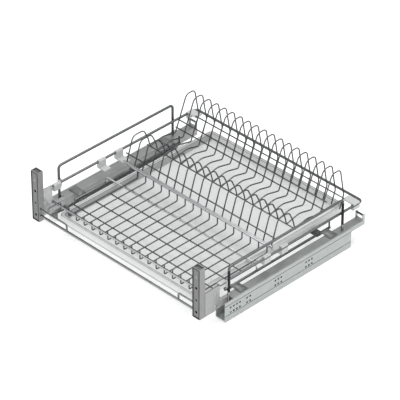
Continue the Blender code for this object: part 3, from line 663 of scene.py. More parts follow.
@dataclass(frozen=True)
class ScrewHead:
    """A dome-shaped screw head, sunk a little into its seat."""

    radius: float
    rise: float
    sunk_share: float = 0.2
    turns: int = 24
    rings: int = 14

    def build(self, bm: BMesh, place: Vector, outward: Vector) -> None:
        """Adds the head to a mesh.

        Args:
            bm: the mesh.
            place: the middle of the head's seat.
            outward: the way that the head faces.
        """
        matrix = turned(outward, place) @ Matrix.Diagonal((self.radius, self.radius, self.rise, 1))
        dome = bmesh.ops.create_uvsphere(
            bm, u_segments=self.turns, v_segments=self.rings, radius=1, matrix=matrix
        )
        for vert in dome["verts"]:
            depth = (place - vert.co).dot(outward) - self.rise * self.sunk_share
            if depth > 0:
                vert.co += outward * depth


def linked(name: str, data: bpy.types.ID) -> Object:
    """Puts data into the scene as an object.

    Args:
        name: the object's name.
        data: its mesh, lamp or camera.

    Returns:
        The object.
    """
    obj = bpy.data.objects.new(name, data)
    bpy.context.scene.collection.objects.link(obj)
    return obj


def shaded(mesh: bpy.types.Mesh) -> None:
    """Shades a mesh smooth but for its sharp edges."""
    mesh.shade_smooth()
    mesh.set_sharp_from_angle(angle=SMOOTH_ANGLE)


def solid(name: str, bm: BMesh) -> Object:
    """Makes an object of a mesh, with outward normals.

    Args:
        name: the object's name.
        bm: the mesh, which is used up.

    Returns:
        The object.
    """
    bmesh.ops.recalc_face_normals(bm, faces=bm.faces)
    mesh = bpy.data.meshes.new(name)
    bm.to_mesh(mesh)
    bm.free()
    shaded(mesh)
    return linked(name, mesh)


def modify(obj: Object, name: str, kind: str, **settings: object) -> None:
    """Gives an object a modifier.

    Args:
        obj: the object.
        name: the modifier's name.
        kind: its type.
        settings: its properties.
    """
    made = obj.modifiers.new(name, kind)
    for key, value in settings.items():
        setattr(made, key, value)


class Piece:
    """A finished piece: a mesh that belongs to a CAD node and rides on its body."""

    def __init__(
        self, node: str, work: str, finish: Finish, body: Body = Body.DRAWER, stands: bool = True
    ) -> None:
        """Starts an empty mesh for the piece.

        Args:
            node: the CAD node that it belongs to.
            work: the end of the piece's name, after the node's.
            finish: its finish.
            body: the body that it moves with.
            stands: whether it stands for the node, or is only added to it.
        """
        self.name = f"{node}_{work}"
        self.nodes = [node] if stands else []
        self.finishes = [finish]
        self.body = body
        self.bm = bmesh.new()

    def paint(self, finish: Finish, where: Callable[[BMFace], bool]) -> None:
        """Gives some of the faces another finish.

        Args:
            finish: the other finish.
            where: whether a face takes it.
        """
        bmesh.ops.recalc_face_normals(self.bm, faces=self.bm.faces)
        for face in self.bm.faces:
            if where(face):
                face.material_index = len(self.finishes)
        self.finishes.append(finish)

    def place(
        self,
        bevel: float = 0.0,
        cuts: BMesh | None = None,
        cut_finish: Finish | None = None,
        sheet: float = 0.0,
    ) -> None:
        """Turns the mesh into a dressed object in the scene.

        Args:
            bevel: the width of a bevel on its hard edges, or zero.
            cuts: shapes that are cut out of it, if any.
            cut_finish: the finish of the cuts' walls, where it isn't the piece's own.
            sheet: the thickness that an open surface gets about its middle, or zero.
        """
        obj = solid(self.name, self.bm)
        for finish in self.finishes:
            obj.data.materials.append(finish.material())
        if cuts is not None:
            self._cut(obj, cuts, cut_finish or self.finishes[0])
        if sheet:
            modify(obj, "sheet", "SOLIDIFY", thickness=sheet, offset=0)
        if bevel:
            modify(
                obj, "edges", "BEVEL", width=bevel, segments=2, limit_method="ANGLE", angle_limit=HARD_ANGLE
            )
        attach(obj, self.body.value)
        if self.nodes:
            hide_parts(*self.nodes)
        log.info("%s rides on %s", self.name, self.body.value)

    def _cut(self, obj: Object, cuts: BMesh, finish: Finish) -> None:
        """Cuts shapes out of the object and keeps the result as its mesh.

        Args:
            obj: the object.
            cuts: the shapes.
            finish: the finish of the walls that they leave.
        """
        cutter = solid(self.name + "_cuts", cuts)
        cutter.data.materials.append(finish.material())
        modify(
            obj,
            "cuts",
            "BOOLEAN",
            operation="DIFFERENCE",
            solver="EXACT",
            material_mode="TRANSFER",
            object=cutter,
        )
        graph = bpy.context.evaluated_depsgraph_get()
        obj_mesh = bpy.data.meshes.new_from_object(obj.evaluated_get(graph))
        obj.modifiers.clear()
        obj.data = obj_mesh
        shaded(obj_mesh)
        bpy.data.objects.remove(cutter, do_unlink=True)


@dataclass
class SidePart:
    """A sub-assembly that there is one of on each side."""

    side: Side

    def name(self, node: str) -> str:
        """A node's name on this side."""
        return f"{node}_{self.side.label}"

    def x(self, distance: float) -> float:
        """The X of a distance from the rack's middle, on this side."""
        return self.side.value * distance

    def span(self, node: str) -> tuple[Vector, Vector]:
        """A node's box, with X as the distance from the rack's middle.

        Args:
            node: the node's name without its side.

        Returns:
            The box's low corner, nearest the middle, and its high corner.
        """
        low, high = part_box(self.name(node))
        if self.side is Side.LEFT:
            low.x, high.x = -high.x, -low.x
        return low, high

    def looks_in(self, face: BMFace) -> bool:
        """Whether a face looks straight to the rack's middle."""
        return self.x(face.normal.x) < -SQUARE_ON

    def section(self, bm: BMesh, outline: Sequence[Pair], low: Vector, high: Vector) -> None:
        """Adds a solid with an outline in X and Z, drawn along Y from one corner to the other."""
        drawn(bm, [(self.x(x), z) for x, z in outline], ALONG_Y, low.y, high.y)


# Runners


@dataclass
class Runner(SidePart):
    """One side's runner: cabinet rail, middle rail and drawer rail."""

    sheet: float = 0.0015
    fold: float = 0.0012
    fold_steps: int = 3
    hole_radius: float = 0.0026
    hole_pitch: float = 0.0095
    hole_rows: Pair = (0.0205, 0.0330)
    hole_groups: tuple[tuple[float, int], ...] = ((0.0172, 4), (0.0676, 2), (0.1556, 3), (0.2532, 3))
    rail_floor: float = 0.00375
    rail_lip: float = 0.022
    crease_heights: Pair = (0.0155, 0.0415)
    crease: float = 0.0007
    crease_slope: Pair = (0.3, 0.9)
    edge_slots: Pair = (0.0245, 0.0460)
    slot_size: Pair = (0.007, 0.0036)
    mid_flange: float = 0.006
    mid_bevel: float = 0.0004
    top: float = 0.050
    outer_drop: float = 0.012
    inner_drop: float = 0.023
    hook_radius: float = 0.0025
    hook_height: float = 0.063
    hook_inset: float = 0.0002
    ear_depth: float = 0.007

    def build(self) -> None:
        """Builds the three rails."""
        self.cabinet_rail()
        self.mid_rail()
        self.drawer_rail()

    def cabinet_rail(self) -> None:
        """The trough on the cabinet's side, with its creases, screw holes and edge slots, painted shade in
        the creases and holes and painted light on its inward faces.
        """
        low, high = self.span("cabinet_rail")
        piece = Piece(self.name("cabinet_rail"), "trough", RAIL_ZINC, Body.CABINET)
        half = self.sheet / 2
        web = high.x - self.sheet
        outline = [(high.x, 0)]
        for height in self.crease_heights:
            outline.append((high.x, height - self.crease))
            outline.append((high.x - self.crease, height))
            outline.append((high.x, height + self.crease))
        outline += [
            (high.x, high.z),
            (web, high.z),
            (web, self.rail_floor + half),
            (low.x + self.sheet, self.rail_floor + half),
            (low.x + self.sheet, self.rail_lip),
            (low.x, self.rail_lip),
            (low.x, self.rail_floor - half),
            (web, self.rail_floor - half),
            (web, 0),
        ]
        self.section(piece.bm, outline, low, high)
        middle = self.x(high.x - half)
        centres = [
            Vector((middle, low.y + start + number * self.hole_pitch, z))
            for start, count in self.hole_groups
            for number in range(count)
            for z in self.hole_rows
        ]
        cuts = bmesh.new()
        round_pins(cuts, centres, X_AXIS, self.hole_radius, self.sheet * CUT_THROUGH)
        length, height = self.slot_size
        reach = self.sheet * CUT_THROUGH / 2
        for place in self.edge_slots:
            y = low.y + place
            block(cuts, (middle - reach, y - length / 2, -height), (middle + reach, y + length / 2, height))
        least, most = self.crease_slope
        # Painted shade: the creases' sloping faces are darker.
        piece.paint(PAINTED_SHADE_ZINC, lambda face: least < abs(face.normal.z) < most)
        # Painted light: the inward faces are near white.
        piece.paint(PAINTED_LIGHT_ZINC, self.looks_in)
        # Painted shade: the walls of the holes and slots are dark.
        piece.place(cuts=cuts, cut_finish=PAINTED_SHADE_ZINC)

    def mid_rail(self) -> None:
        """The C section between the two, zinc on its outward faces and painted light on the rest."""
        low, high = self.span("mid_rail")
        piece = Piece(self.name("mid_rail"), "channel", PAINTED_LIGHT_ZINC, self.side.mid_body)
        inner, outer = low.x + self.sheet, high.x - self.sheet
        outline = [
            (high.x, low.z),
            (high.x, high.z),
            (low.x, high.z),
            (low.x, high.z - self.mid_flange),
            (inner, high.z - self.mid_flange),
            (inner, high.z - self.sheet),
            (outer, high.z - self.sheet),
            (outer, low.z + self.sheet),
            (inner, low.z + self.sheet),
            (inner, low.z + self.mid_flange),
            (low.x, low.z + self.mid_flange),
            (low.x, low.z),
        ]
        self.section(piece.bm, outline, low, high)
        # Painted light covers all but the outward faces, which keep the zinc.
        piece.paint(RAIL_ZINC, lambda face: self.x(face.normal.x) > SQUARE_ON)
        piece.place(bevel=self.mid_bevel)

    def drawer_rail(self) -> None:
        """The inverted channel that carries the frame, with a hook rod between two ears behind."""
        low, high = self.span("drawer_rail")
        name = self.name("drawer_rail")
        piece = Piece(name, "channel", RAIL_ZINC)
        top = self.top
        inner, outer = low.x + self.sheet, high.x - self.sheet
        outline = [
            (high.x, top - self.outer_drop),
            (high.x, top),
            (low.x, top),
            (low.x, top - self.inner_drop),
            (inner, top - self.inner_drop),
            (inner, top - self.sheet),
            (outer, top - self.sheet),
            (outer, top - self.outer_drop),
        ]
        self.section(piece.bm, outline, low, high)
        folds = edges_along(
            piece.bm,
            ALONG_Y,
            self.sheet,
            lambda edge: all(vert.co.z > top - WELD_DISTANCE for vert in edge.verts),
        )
        rounded(piece.bm, folds, self.fold, self.fold_steps)
        front = high.y - self.ear_depth
        for ear in (low.x, outer):
            start = (self.x(ear), front, top - self.sheet / 2)
            block(piece.bm, start, (self.x(ear + self.sheet), high.y, high.z))
        # Painted shade: the top faces are darker.
        piece.paint(PAINTED_SHADE_TOP_ZINC, lambda face: face.normal.z > SQUARE_ON)
        # Painted light: the inward faces are paler and less metallic.
        piece.paint(PAINTED_LIGHT_FLANGE_ZINC, self.looks_in)
        piece.place()
        hook = Piece(name, "hook", WIRE_CHROME, stands=False)
        y = high.y - self.ear_depth / 2
        start, end = [
            (self.x(x), y, self.hook_height) for x in (low.x + self.sheet / 2, high.x - self.hook_inset)
        ]
        straight_rod(hook.bm, start, end, self.hook_radius)
        hook.place()


# Front of the drawer


@dataclass
class FrontPost(SidePart):
    """One post with its strip, bracket, coupler and release lever."""

    bevel: float = 0.0003
    wall: float = 0.0024
    rim_share: float = 0.4
    cap_share: float = 0.6
    recess: float = 0.006
    cap_recess: float = 0.0040
    cap_slot_radius: float = 0.0018
    cap_slot_stretch: float = 1.6
    corner: float = 0.0012
    corner_steps: int = 3
    end_hole_radius: float = 0.0033
    hole_radius: float = 0.0025
    hole_pitch: float = 0.032
    hole_share: float = 0.362
    strip_edge: float = 0.0016
    strip_dish: float = 0.0006
    rivet: ScrewHead = ScrewHead(0.0025, 0.00072)
    rivet_rise: float = 0.0608
    sheet: float = 0.0016
    cut: float = 0.015
    cut_rounding: float = 0.003
    cut_steps: int = 5
    tab_sheet: float = 0.0015
    tab_top: float = 0.0820
    tab_depth: float = 0.008
    tab_overlap: float = 0.0022
    screw: ScrewHead = ScrewHead(0.0046, 0.0024)
    screw_inset: float = 0.0139
    screw_heights: Pair = (0.045, 0.0787)
    socket_radius: float = 0.0016
    socket_sides: int = 6
    pocket_wall: float = 0.0016
    pocket_slope: float = 0.0004
    pocket_depth: float = 0.0009
    coupler_bevel: float = 0.0005
    boss_radius: float = 0.004
    arm_thickness: float = 0.003
    arm_inset: float = 0.0005
    finger_reach: float = 0.008
    finger_thickness: float = 0.0048
    lever_bevel: float = 0.0004

    def build(self) -> None:
        """Builds every piece of this side's front."""
        self.post()
        self.strip()
        self.bracket()
        self.coupler()
        self.lever()

    def post(self) -> None:
        """The hollow-fronted post, with near-black painted shade on its front rim and in its recess, and a
        shallow dish in painted shade with a slot in its cap.
        """
        low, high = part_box(self.name("post"))
        piece = Piece(self.name("post"), "coated", POST_COAT)
        block(piece.bm, low, high)
        upright = edges_along(piece.bm, ALONG_Z, self.recess)
        piece.bm.normal_update()
        for direction, depth in ((-Y_AXIS, self.recess), (Z_AXIS, self.cap_recess)):
            face = max(piece.bm.faces, key=lambda item: item.normal.dot(direction) * item.calc_area())
            bmesh.ops.inset_individual(piece.bm, faces=[face], thickness=self.wall, depth=0)
            bmesh.ops.translate(piece.bm, verts=lifted(piece.bm, face), vec=direction * -depth)
            piece.bm.normal_update()
        rounded(piece.bm, upright, self.corner, self.corner_steps)

        def in_recess(face: BMFace) -> bool:
            """Whether a face is the front rim or a wall or floor of the recess."""
            middle = face.calc_center_median()
            within = inside(middle, low, high, self.wall * self.rim_share, (ALONG_X, ALONG_Z))
            in_front = middle.y < low.y + self.recess + WELD_DISTANCE
            return in_front and (face.normal.y < -SQUARE_ON or within)

        def in_cap(face: BMFace) -> bool:
            """Whether a face is a wall or the floor of the hollow in the post's top."""
            middle = face.calc_center_median()
            within = inside(middle, low, high, self.wall * self.cap_share, (ALONG_X, ALONG_Y))
            return within and high.z - self.cap_recess - WELD_DISTANCE < middle.z < high.z - WELD_DISTANCE

        # Painted shade: the front rim and the recess are near black.
        piece.paint(RECESS_SHADE_COAT, in_recess)
        # Painted shade: the hollow in the cap is darker.
        piece.paint(CAP_SHADE_COAT, in_cap)
        cuts = bmesh.new()
        middle = (low + high) / 2
        middle.z = high.z - self.cap_recess
        bmesh.ops.create_cone(
            cuts,
            cap_ends=True,
            segments=BORE_SIDES,
            radius1=self.cap_slot_radius,
            radius2=self.cap_slot_radius,
            depth=self.recess,
            matrix=Matrix.Translation(middle) @ Matrix.Diagonal((self.cap_slot_stretch, 1, 1, 1)),
        )
        piece.place(bevel=self.bevel, cuts=cuts)

    def strip(self) -> None:
        """The strip in the recess, dished between raised edges, with its three screw holes."""
        low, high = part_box(self.name("post_strip"))
        piece = Piece(self.name("post_strip"), "coated", STRIP_COAT)
        block(piece.bm, low, high)
        bmesh.ops.recalc_face_normals(piece.bm, faces=piece.bm.faces)
        face = min(piece.bm.faces, key=lambda item: item.normal.y * item.calc_area())
        for thickness, depth in ((self.strip_edge, 0), (self.strip_dish, -self.strip_dish)):
            bmesh.ops.inset_individual(piece.bm, faces=[face], thickness=thickness, depth=depth)
        post_low, post_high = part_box(self.name("post"))
        middle = (low + high) / 2
        middle.z = post_low.z + self.hole_share * (post_high.z - post_low.z)
        cuts = bmesh.new()
        ends = (self.end_hole_radius, self.hole_radius, self.end_hole_radius)
        for step, radius in zip((-1, 0, 1), ends):
            hole = middle + Z_AXIS * step * self.hole_pitch
            round_pins(cuts, [hole], Y_AXIS, radius, (high.y - low.y) * CUT_THROUGH)
        # Painted shade: the holes' walls are near black.
        piece.place(bevel=self.bevel, cuts=cuts, cut_finish=RECESS_SHADE_COAT)
        rivet = Piece(self.name("post_strip"), "rivet", SCREW_STEEL, stands=False)
        seat = Vector((middle.x, low.y + self.strip_dish, middle.z + self.rivet_rise))
        self.rivet.build(rivet.bm, seat, -Y_AXIS)
        rivet.place()

    def bracket(self) -> None:
        """The plate behind the post, its bent tab and its two screws, with painted shade on its top and
        painted light on its inward faces.
        """
        low, high = self.span("side_bracket")
        name = self.name("side_bracket")
        piece = Piece(name, "pressed", BRACKET_ZINC)
        outer, inner = self.x(high.x), self.x(high.x - self.sheet)
        outline = [
            (low.y, low.z),
            (high.y - self.cut, low.z),
            (high.y, low.z + self.cut),
            (high.y, high.z),
            (low.y, high.z),
        ]
        drawn(piece.bm, outline, ALONG_X, inner, outer)
        corners = edges_along(
            piece.bm,
            ALONG_X,
            self.sheet / 2,
            lambda edge: min(vert.co.y for vert in edge.verts) > low.y + self.cut,
        )
        rounded(piece.bm, corners, self.cut_rounding, self.cut_steps)
        rim_low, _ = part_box("cup_rack")
        rear = rim_low.y + self.tab_overlap
        block(
            piece.bm,
            (self.x(low.x), rear - self.tab_depth, self.tab_top - self.tab_sheet),
            (self.x(high.x - self.sheet / 2), rear, self.tab_top),
        )
        # Painted shade: the plate's top face above the tab.
        piece.paint(
            PAINTED_SHADE_ZINC, lambda face: face.normal.z > SQUARE_ON and face.calc_center_median().z > self.tab_top
        )
        # Painted light: the inward faces.
        piece.paint(PAINTED_LIGHT_BRACKET_ZINC, self.looks_in)
        piece.place(bevel=self.bevel)
        screws = Piece(name, "screws", SCREW_STEEL, stands=False)
        outward = self.x(1) * X_AXIS
        sockets = bmesh.new()
        for height in self.screw_heights:
            place = Vector((outer, high.y - self.screw_inset, height))
            self.screw.build(screws.bm, place, outward)
            tip = place + outward * self.screw.rise
            round_pins(sockets, [tip], outward, self.socket_radius, self.screw.rise, self.socket_sides)
        screws.place(cuts=sockets)

    def coupler(self) -> None:
        """The block that joins the bracket to the drawer rail, with a moulded pocket in its top."""
        low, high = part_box(self.name("front_coupler"))
        piece = Piece(self.name("front_coupler"), "moulded", COUPLER_PLASTIC)
        block(piece.bm, low, high)
        bmesh.ops.recalc_face_normals(piece.bm, faces=piece.bm.faces)
        top = max(piece.bm.faces, key=lambda item: item.normal.z)
        for thickness, depth in ((self.pocket_wall, 0), (self.pocket_slope, -self.pocket_depth)):
            bmesh.ops.inset_individual(piece.bm, faces=[top], thickness=thickness, depth=depth)
        piece.place(bevel=self.coupler_bevel)

    def lever(self) -> None:
        """The release lever: a boss and an arm with a finger tab."""
        low, high = self.span("release_lever")
        piece = Piece(self.name("release_lever"), "moulded", COUPLER_PLASTIC, self.side.lever_body)
        boss = self.boss_radius
        pivot = Vector((high.x - boss, high.y - boss, (low.z + high.z) / 2))
        middle = Vector((self.x(pivot.x), pivot.y, pivot.z))
        round_pins(piece.bm, [middle], Z_AXIS, boss, high.z - low.z, BORE_SIDES)
        half = self.arm_thickness / 2
        finger = half - self.finger_thickness
        finger_end = low.y + self.finger_reach
        outline = [
            (half, pivot.y),
            (half, low.y),
            (finger, low.y),
            (finger, finger_end),
            (-half, finger_end + self.finger_thickness - self.arm_thickness),
            (-half, pivot.y),
        ]
        outline = [(self.x(pivot.x + x), y) for x, y in outline]
        drawn(piece.bm, outline, ALONG_Z, low.z + self.arm_inset, high.z - self.arm_inset)
        piece.place(bevel=self.lever_bevel)


# Frame of bent rods


@dataclass
class RodFrame:
    """The rods that go from side to side: perimeter rod, front cross rod and crossbar."""

    perimeter_bend: float = 0.010
    crossbar_bend: float = 0.008
    hook_radius: float = 0.00225
    hook_bend: float = 0.005
    hook_height: float = 0.0675
    hook_lengths: Pair = (0.087, 0.047)
    hook_inset: float = 0.0003
    sheen_slope: float = 0.75
    end_slope: float = 0.3

    def build(self) -> None:
        """Builds the three rods."""
        self.perimeter()
        self.cross_rod()
        self.crossbar()

    def perimeter(self) -> None:
        """The rod round both sides and the back."""
        low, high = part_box("perimeter_rod")
        radius = ROD_RADIUS
        x, rear, bend = high.x - radius, high.y - radius, self.perimeter_bend
        piece = Piece("perimeter_rod", "plated", ROD_CHROME)
        corners = [(-x, low.y, 0), (-x, rear, bend), (x, rear, bend), (x, low.y, 0)]
        bent_rod(piece.bm, plane_path(corners, (low.z + high.z) / 2, ALONG_Z), radius)
        piece.place()

    def cross_rod(self) -> None:
        """The front cross rod and its two hooks."""
        low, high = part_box("front_cross_rod")
        radius = ROD_RADIUS
        y = (low.y + high.y) / 2
        z = low.z + radius
        piece = Piece("front_cross_rod", "plated", ROD_CHROME)
        straight_rod(piece.bm, (low.x, y, z), (high.x, y, z), radius)
        for side, length in zip(Side, self.hook_lengths):
            foot = side.value * (high.x - length + self.hook_inset)
            corners = [
                (side.value * high.x, self.hook_height, 0),
                (foot, self.hook_height, self.hook_bend),
                (foot, z + radius / 2, 0),
            ]
            bent_rod(piece.bm, plane_path(corners, y, ALONG_Y), self.hook_radius)
        # Painted reflection: the rod's lower and front faces are paler chrome, its top faces stay darker.
        piece.paint(PAINTED_SHEEN_CHROME, self.takes_painted_sheen)
        piece.place()

    def takes_painted_sheen(self, face: BMFace) -> bool:
        """Whether a face of the cross rod looks anywhere but straight up or to a side: such faces take a
        paler painted reflection.
        """
        return face.normal.z < self.sheen_slope and abs(face.normal.x) < self.end_slope

    def crossbar(self) -> None:
        """The bar under the cup rack, in a pale chrome that is painted highlight."""
        low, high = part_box("under_crossbar")
        radius = (high.y - low.y) / 2
        x, z, bend = high.x - radius, high.z - radius, self.crossbar_bend
        # The whole bar is a pale chrome that stands for painted highlight.
        piece = Piece("under_crossbar", "plated", PAINTED_HIGHLIGHT_CHROME)
        corners = [(-x, low.z, 0), (-x, z, bend), (x, z, bend), (x, low.z, 0)]
        bent_rod(piece.bm, plane_path(corners, (low.y + high.y) / 2, ALONG_Y), radius)
        piece.place()


@dataclass
class SideRods(SidePart):
    """One side's gallery rail, and its carrier with two straps."""

    gallery_bend: float = 0.009
    leg_end: float = 0.0503
    leg_foot: float = 0.067
    carrier_height: float = 0.046
    carrier_x: float = 0.240
    pin_inset: float = 0.003
    pin_height: float = 0.019
    pin_radius: float = 0.0017
    strap_sheet: float = 0.0015
    strap_width: float = 0.022
    strap_fold: float = 0.003
    fold_steps: int = 4
    strap_slope: float = 0.009
    strap_inset: float = 0.025

    def build(self) -> None:
        """Builds both."""
        self.gallery()
        self.carrier()

    def gallery(self) -> None:
        """The raised side rail, whose legs on the right get painted shade, with a paler painted reflection
        at their feet, where the photograph shows them so.
        """
        name = self.name("gallery_rail")
        low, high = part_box(name)
        radius, bend = ROD_RADIUS, self.gallery_bend
        front, rear, top = low.y + radius, high.y - radius, high.z - radius
        piece = Piece(name, "plated", ROD_CHROME)
        corners = [(front, low.z, 0), (front, top, bend), (rear, top, bend), (rear, self.leg_end, 0)]
        bent_rod(piece.bm, plane_path(corners, (low.x + high.x) / 2, ALONG_X), radius)
        # On the right, painted shade darkens the legs, and a paler painted reflection lies on their feet
        # under leg_foot.
        if self.side is Side.RIGHT:
            parts = [*piece.bm.verts, *piece.bm.edges, *piece.bm.faces]
            bmesh.ops.bisect_plane(piece.bm, geom=parts, plane_co=Z_AXIS * self.leg_foot, plane_no=Z_AXIS)
            piece.paint(DARK_CHROME, lambda face: face.calc_center_median().z < top - bend)
            piece.paint(PAINTED_SHEEN_CHROME, lambda face: face.calc_center_median().z < self.leg_foot)
        piece.place()

    def carrier(self) -> None:
        """The carrier's rod with an upright pin behind, and two folded straps."""
        name = self.name("side_carrier")
        low, high = self.span("side_carrier")
        x, z = self.x(self.carrier_x), self.carrier_height
        rod = Piece(name, "plated", ROD_CHROME)
        straight_rod(rod.bm, (x, low.y, z), (x, high.y, z), ROD_RADIUS)
        rod.place()
        pin = Piece(name, "pin", DARK_CHROME, stands=False)
        y = high.y - self.pin_inset
        straight_rod(pin.bm, (x, y, z), (x, y, z + self.pin_height), self.pin_radius)
        pin.place()
        top, bottom = high.z - self.strap_sheet / 2, low.z + self.strap_sheet / 2
        line = [
            (high.x, top),
            (self.carrier_x + self.strap_slope / 2, top),
            (self.carrier_x - self.strap_slope / 2, bottom),
            (low.x, bottom),
        ]
        for number, middle in enumerate((low.y + self.strap_inset, high.y - self.strap_inset)):
            strap = Piece(name, f"strap_{number + 1}", STRAP_ZINC, stands=False)
            start = middle - self.strap_width / 2
            chain = [strap.bm.verts.new((self.x(a), start, b)) for a, b in line]
            edges = [strap.bm.edges.new(pair) for pair in zip(chain, chain[1:])]
            pulled(strap.bm, edges, Y_AXIS * self.strap_width)
            folds = [edge for edge in strap.bm.edges if len(edge.link_faces) == 2]
            rounded(strap.bm, folds, self.strap_fold, self.fold_steps)
            strap.place(sheet=self.strap_sheet)


# Clips


@dataclass
class RodClip(SidePart):
    """A snap clip on the perimeter rod, with or without a tongue."""

    kind: str = "front"
    bore_radius: float = 0.0033
    inner_inset: float = 0.024
    tongue_thickness: float = 0.003
    seat_gap: float = 0.0003
    sleeve_wall: float = 0.0024
    corner: float = 0.0028
    corner_steps: int = 5
    bevel: float = 0.0006

    def build(self) -> None:
        """Builds the clip from its end view and rounds its long edges."""
        node = f"clip_{self.kind}"
        low, high = self.span(node)
        rod_low, rod_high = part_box("perimeter_rod")
        rod_x = rod_high.x - ROD_RADIUS
        rod_z = (rod_low.z + rod_high.z) / 2
        inner = cad_box[1][0] - self.inner_inset
        outline = [(high.x, high.z), (inner, high.z)]
        if self.kind != "front":
            top = high.z - self.seat_gap if self.kind == "rear" else low.z + self.tongue_thickness
            outline += [(inner, top), (low.x, top), (low.x, top - self.tongue_thickness)]
        if self.kind == "rear":
            outline.append((inner, top - self.tongue_thickness))
        if self.kind in ("front", "rear"):
            outline.append((inner, low.z))
        outline.append((high.x, low.z))
        mouth = math.acos((high.x - rod_x) / self.bore_radius)
        for step in range(BORE_SIDES + 1):
            angle = -mouth - (FULL_TURN - 2 * mouth) * step / BORE_SIDES
            x = rod_x + self.bore_radius * math.cos(angle)
            outline.append((x, rod_z + self.bore_radius * math.sin(angle)))
        piece = Piece(self.name(node), "moulded", CLIP_PLASTIC)
        self.section(piece.bm, outline, low, high)
        marks = [(high.x, high.z), (high.x, low.z), (inner, low.z)]
        if self.kind != "rear":
            marks.append((inner, high.z))

        def marked(edge: BMEdge) -> bool:
            """Whether both ends of an edge lie on one of the marks."""
            return all(
                any(abs(abs(vert.co.x) - x) + abs(vert.co.z - z) < MATCH_DISTANCE for x, z in marks)
                for vert in edge.verts
            )

        soft = edges_along(piece.bm, ALONG_Y, self.corner, marked)
        rounded(piece.bm, soft, self.corner, self.corner_steps)
        piece.place(bevel=self.bevel)
        if self.kind == "front":
            self.sleeve(low, high)

    def sleeve(self, low: Vector, high: Vector) -> None:
        """The front clip's half sleeve, on the inner side of the gallery rail's leg.

        Args:
            low: the clip's lowest corner.
            high: its highest corner.
        """
        leg_low, leg_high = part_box(self.name("gallery_rail"))
        leg = Vector(((leg_low.x + leg_high.x) / 2, leg_low.y + ROD_RADIUS, (low.z + high.z) / 2))
        piece = Piece(self.name("clip_front"), "sleeve", CLIP_PLASTIC, stands=False)
        half = ROD_RADIUS + self.sleeve_wall
        block(piece.bm, (leg.x, leg.y - half, low.z), (leg.x - self.x(half), leg.y + half, high.z))
        limit = self.x(leg.x) - ROD_RADIUS
        upright = edges_along(piece.bm, ALONG_Z, half, lambda edge: self.x(edge.verts[0].co.x) < limit)
        rounded(piece.bm, upright, self.sleeve_wall, self.corner_steps)
        cuts = bmesh.new()
        round_pins(cuts, [leg], Z_AXIS, self.bore_radius, (high.z - low.z) * 2, BORE_SIDES)
        piece.place(bevel=self.bevel, cuts=cuts)


# Drip tray


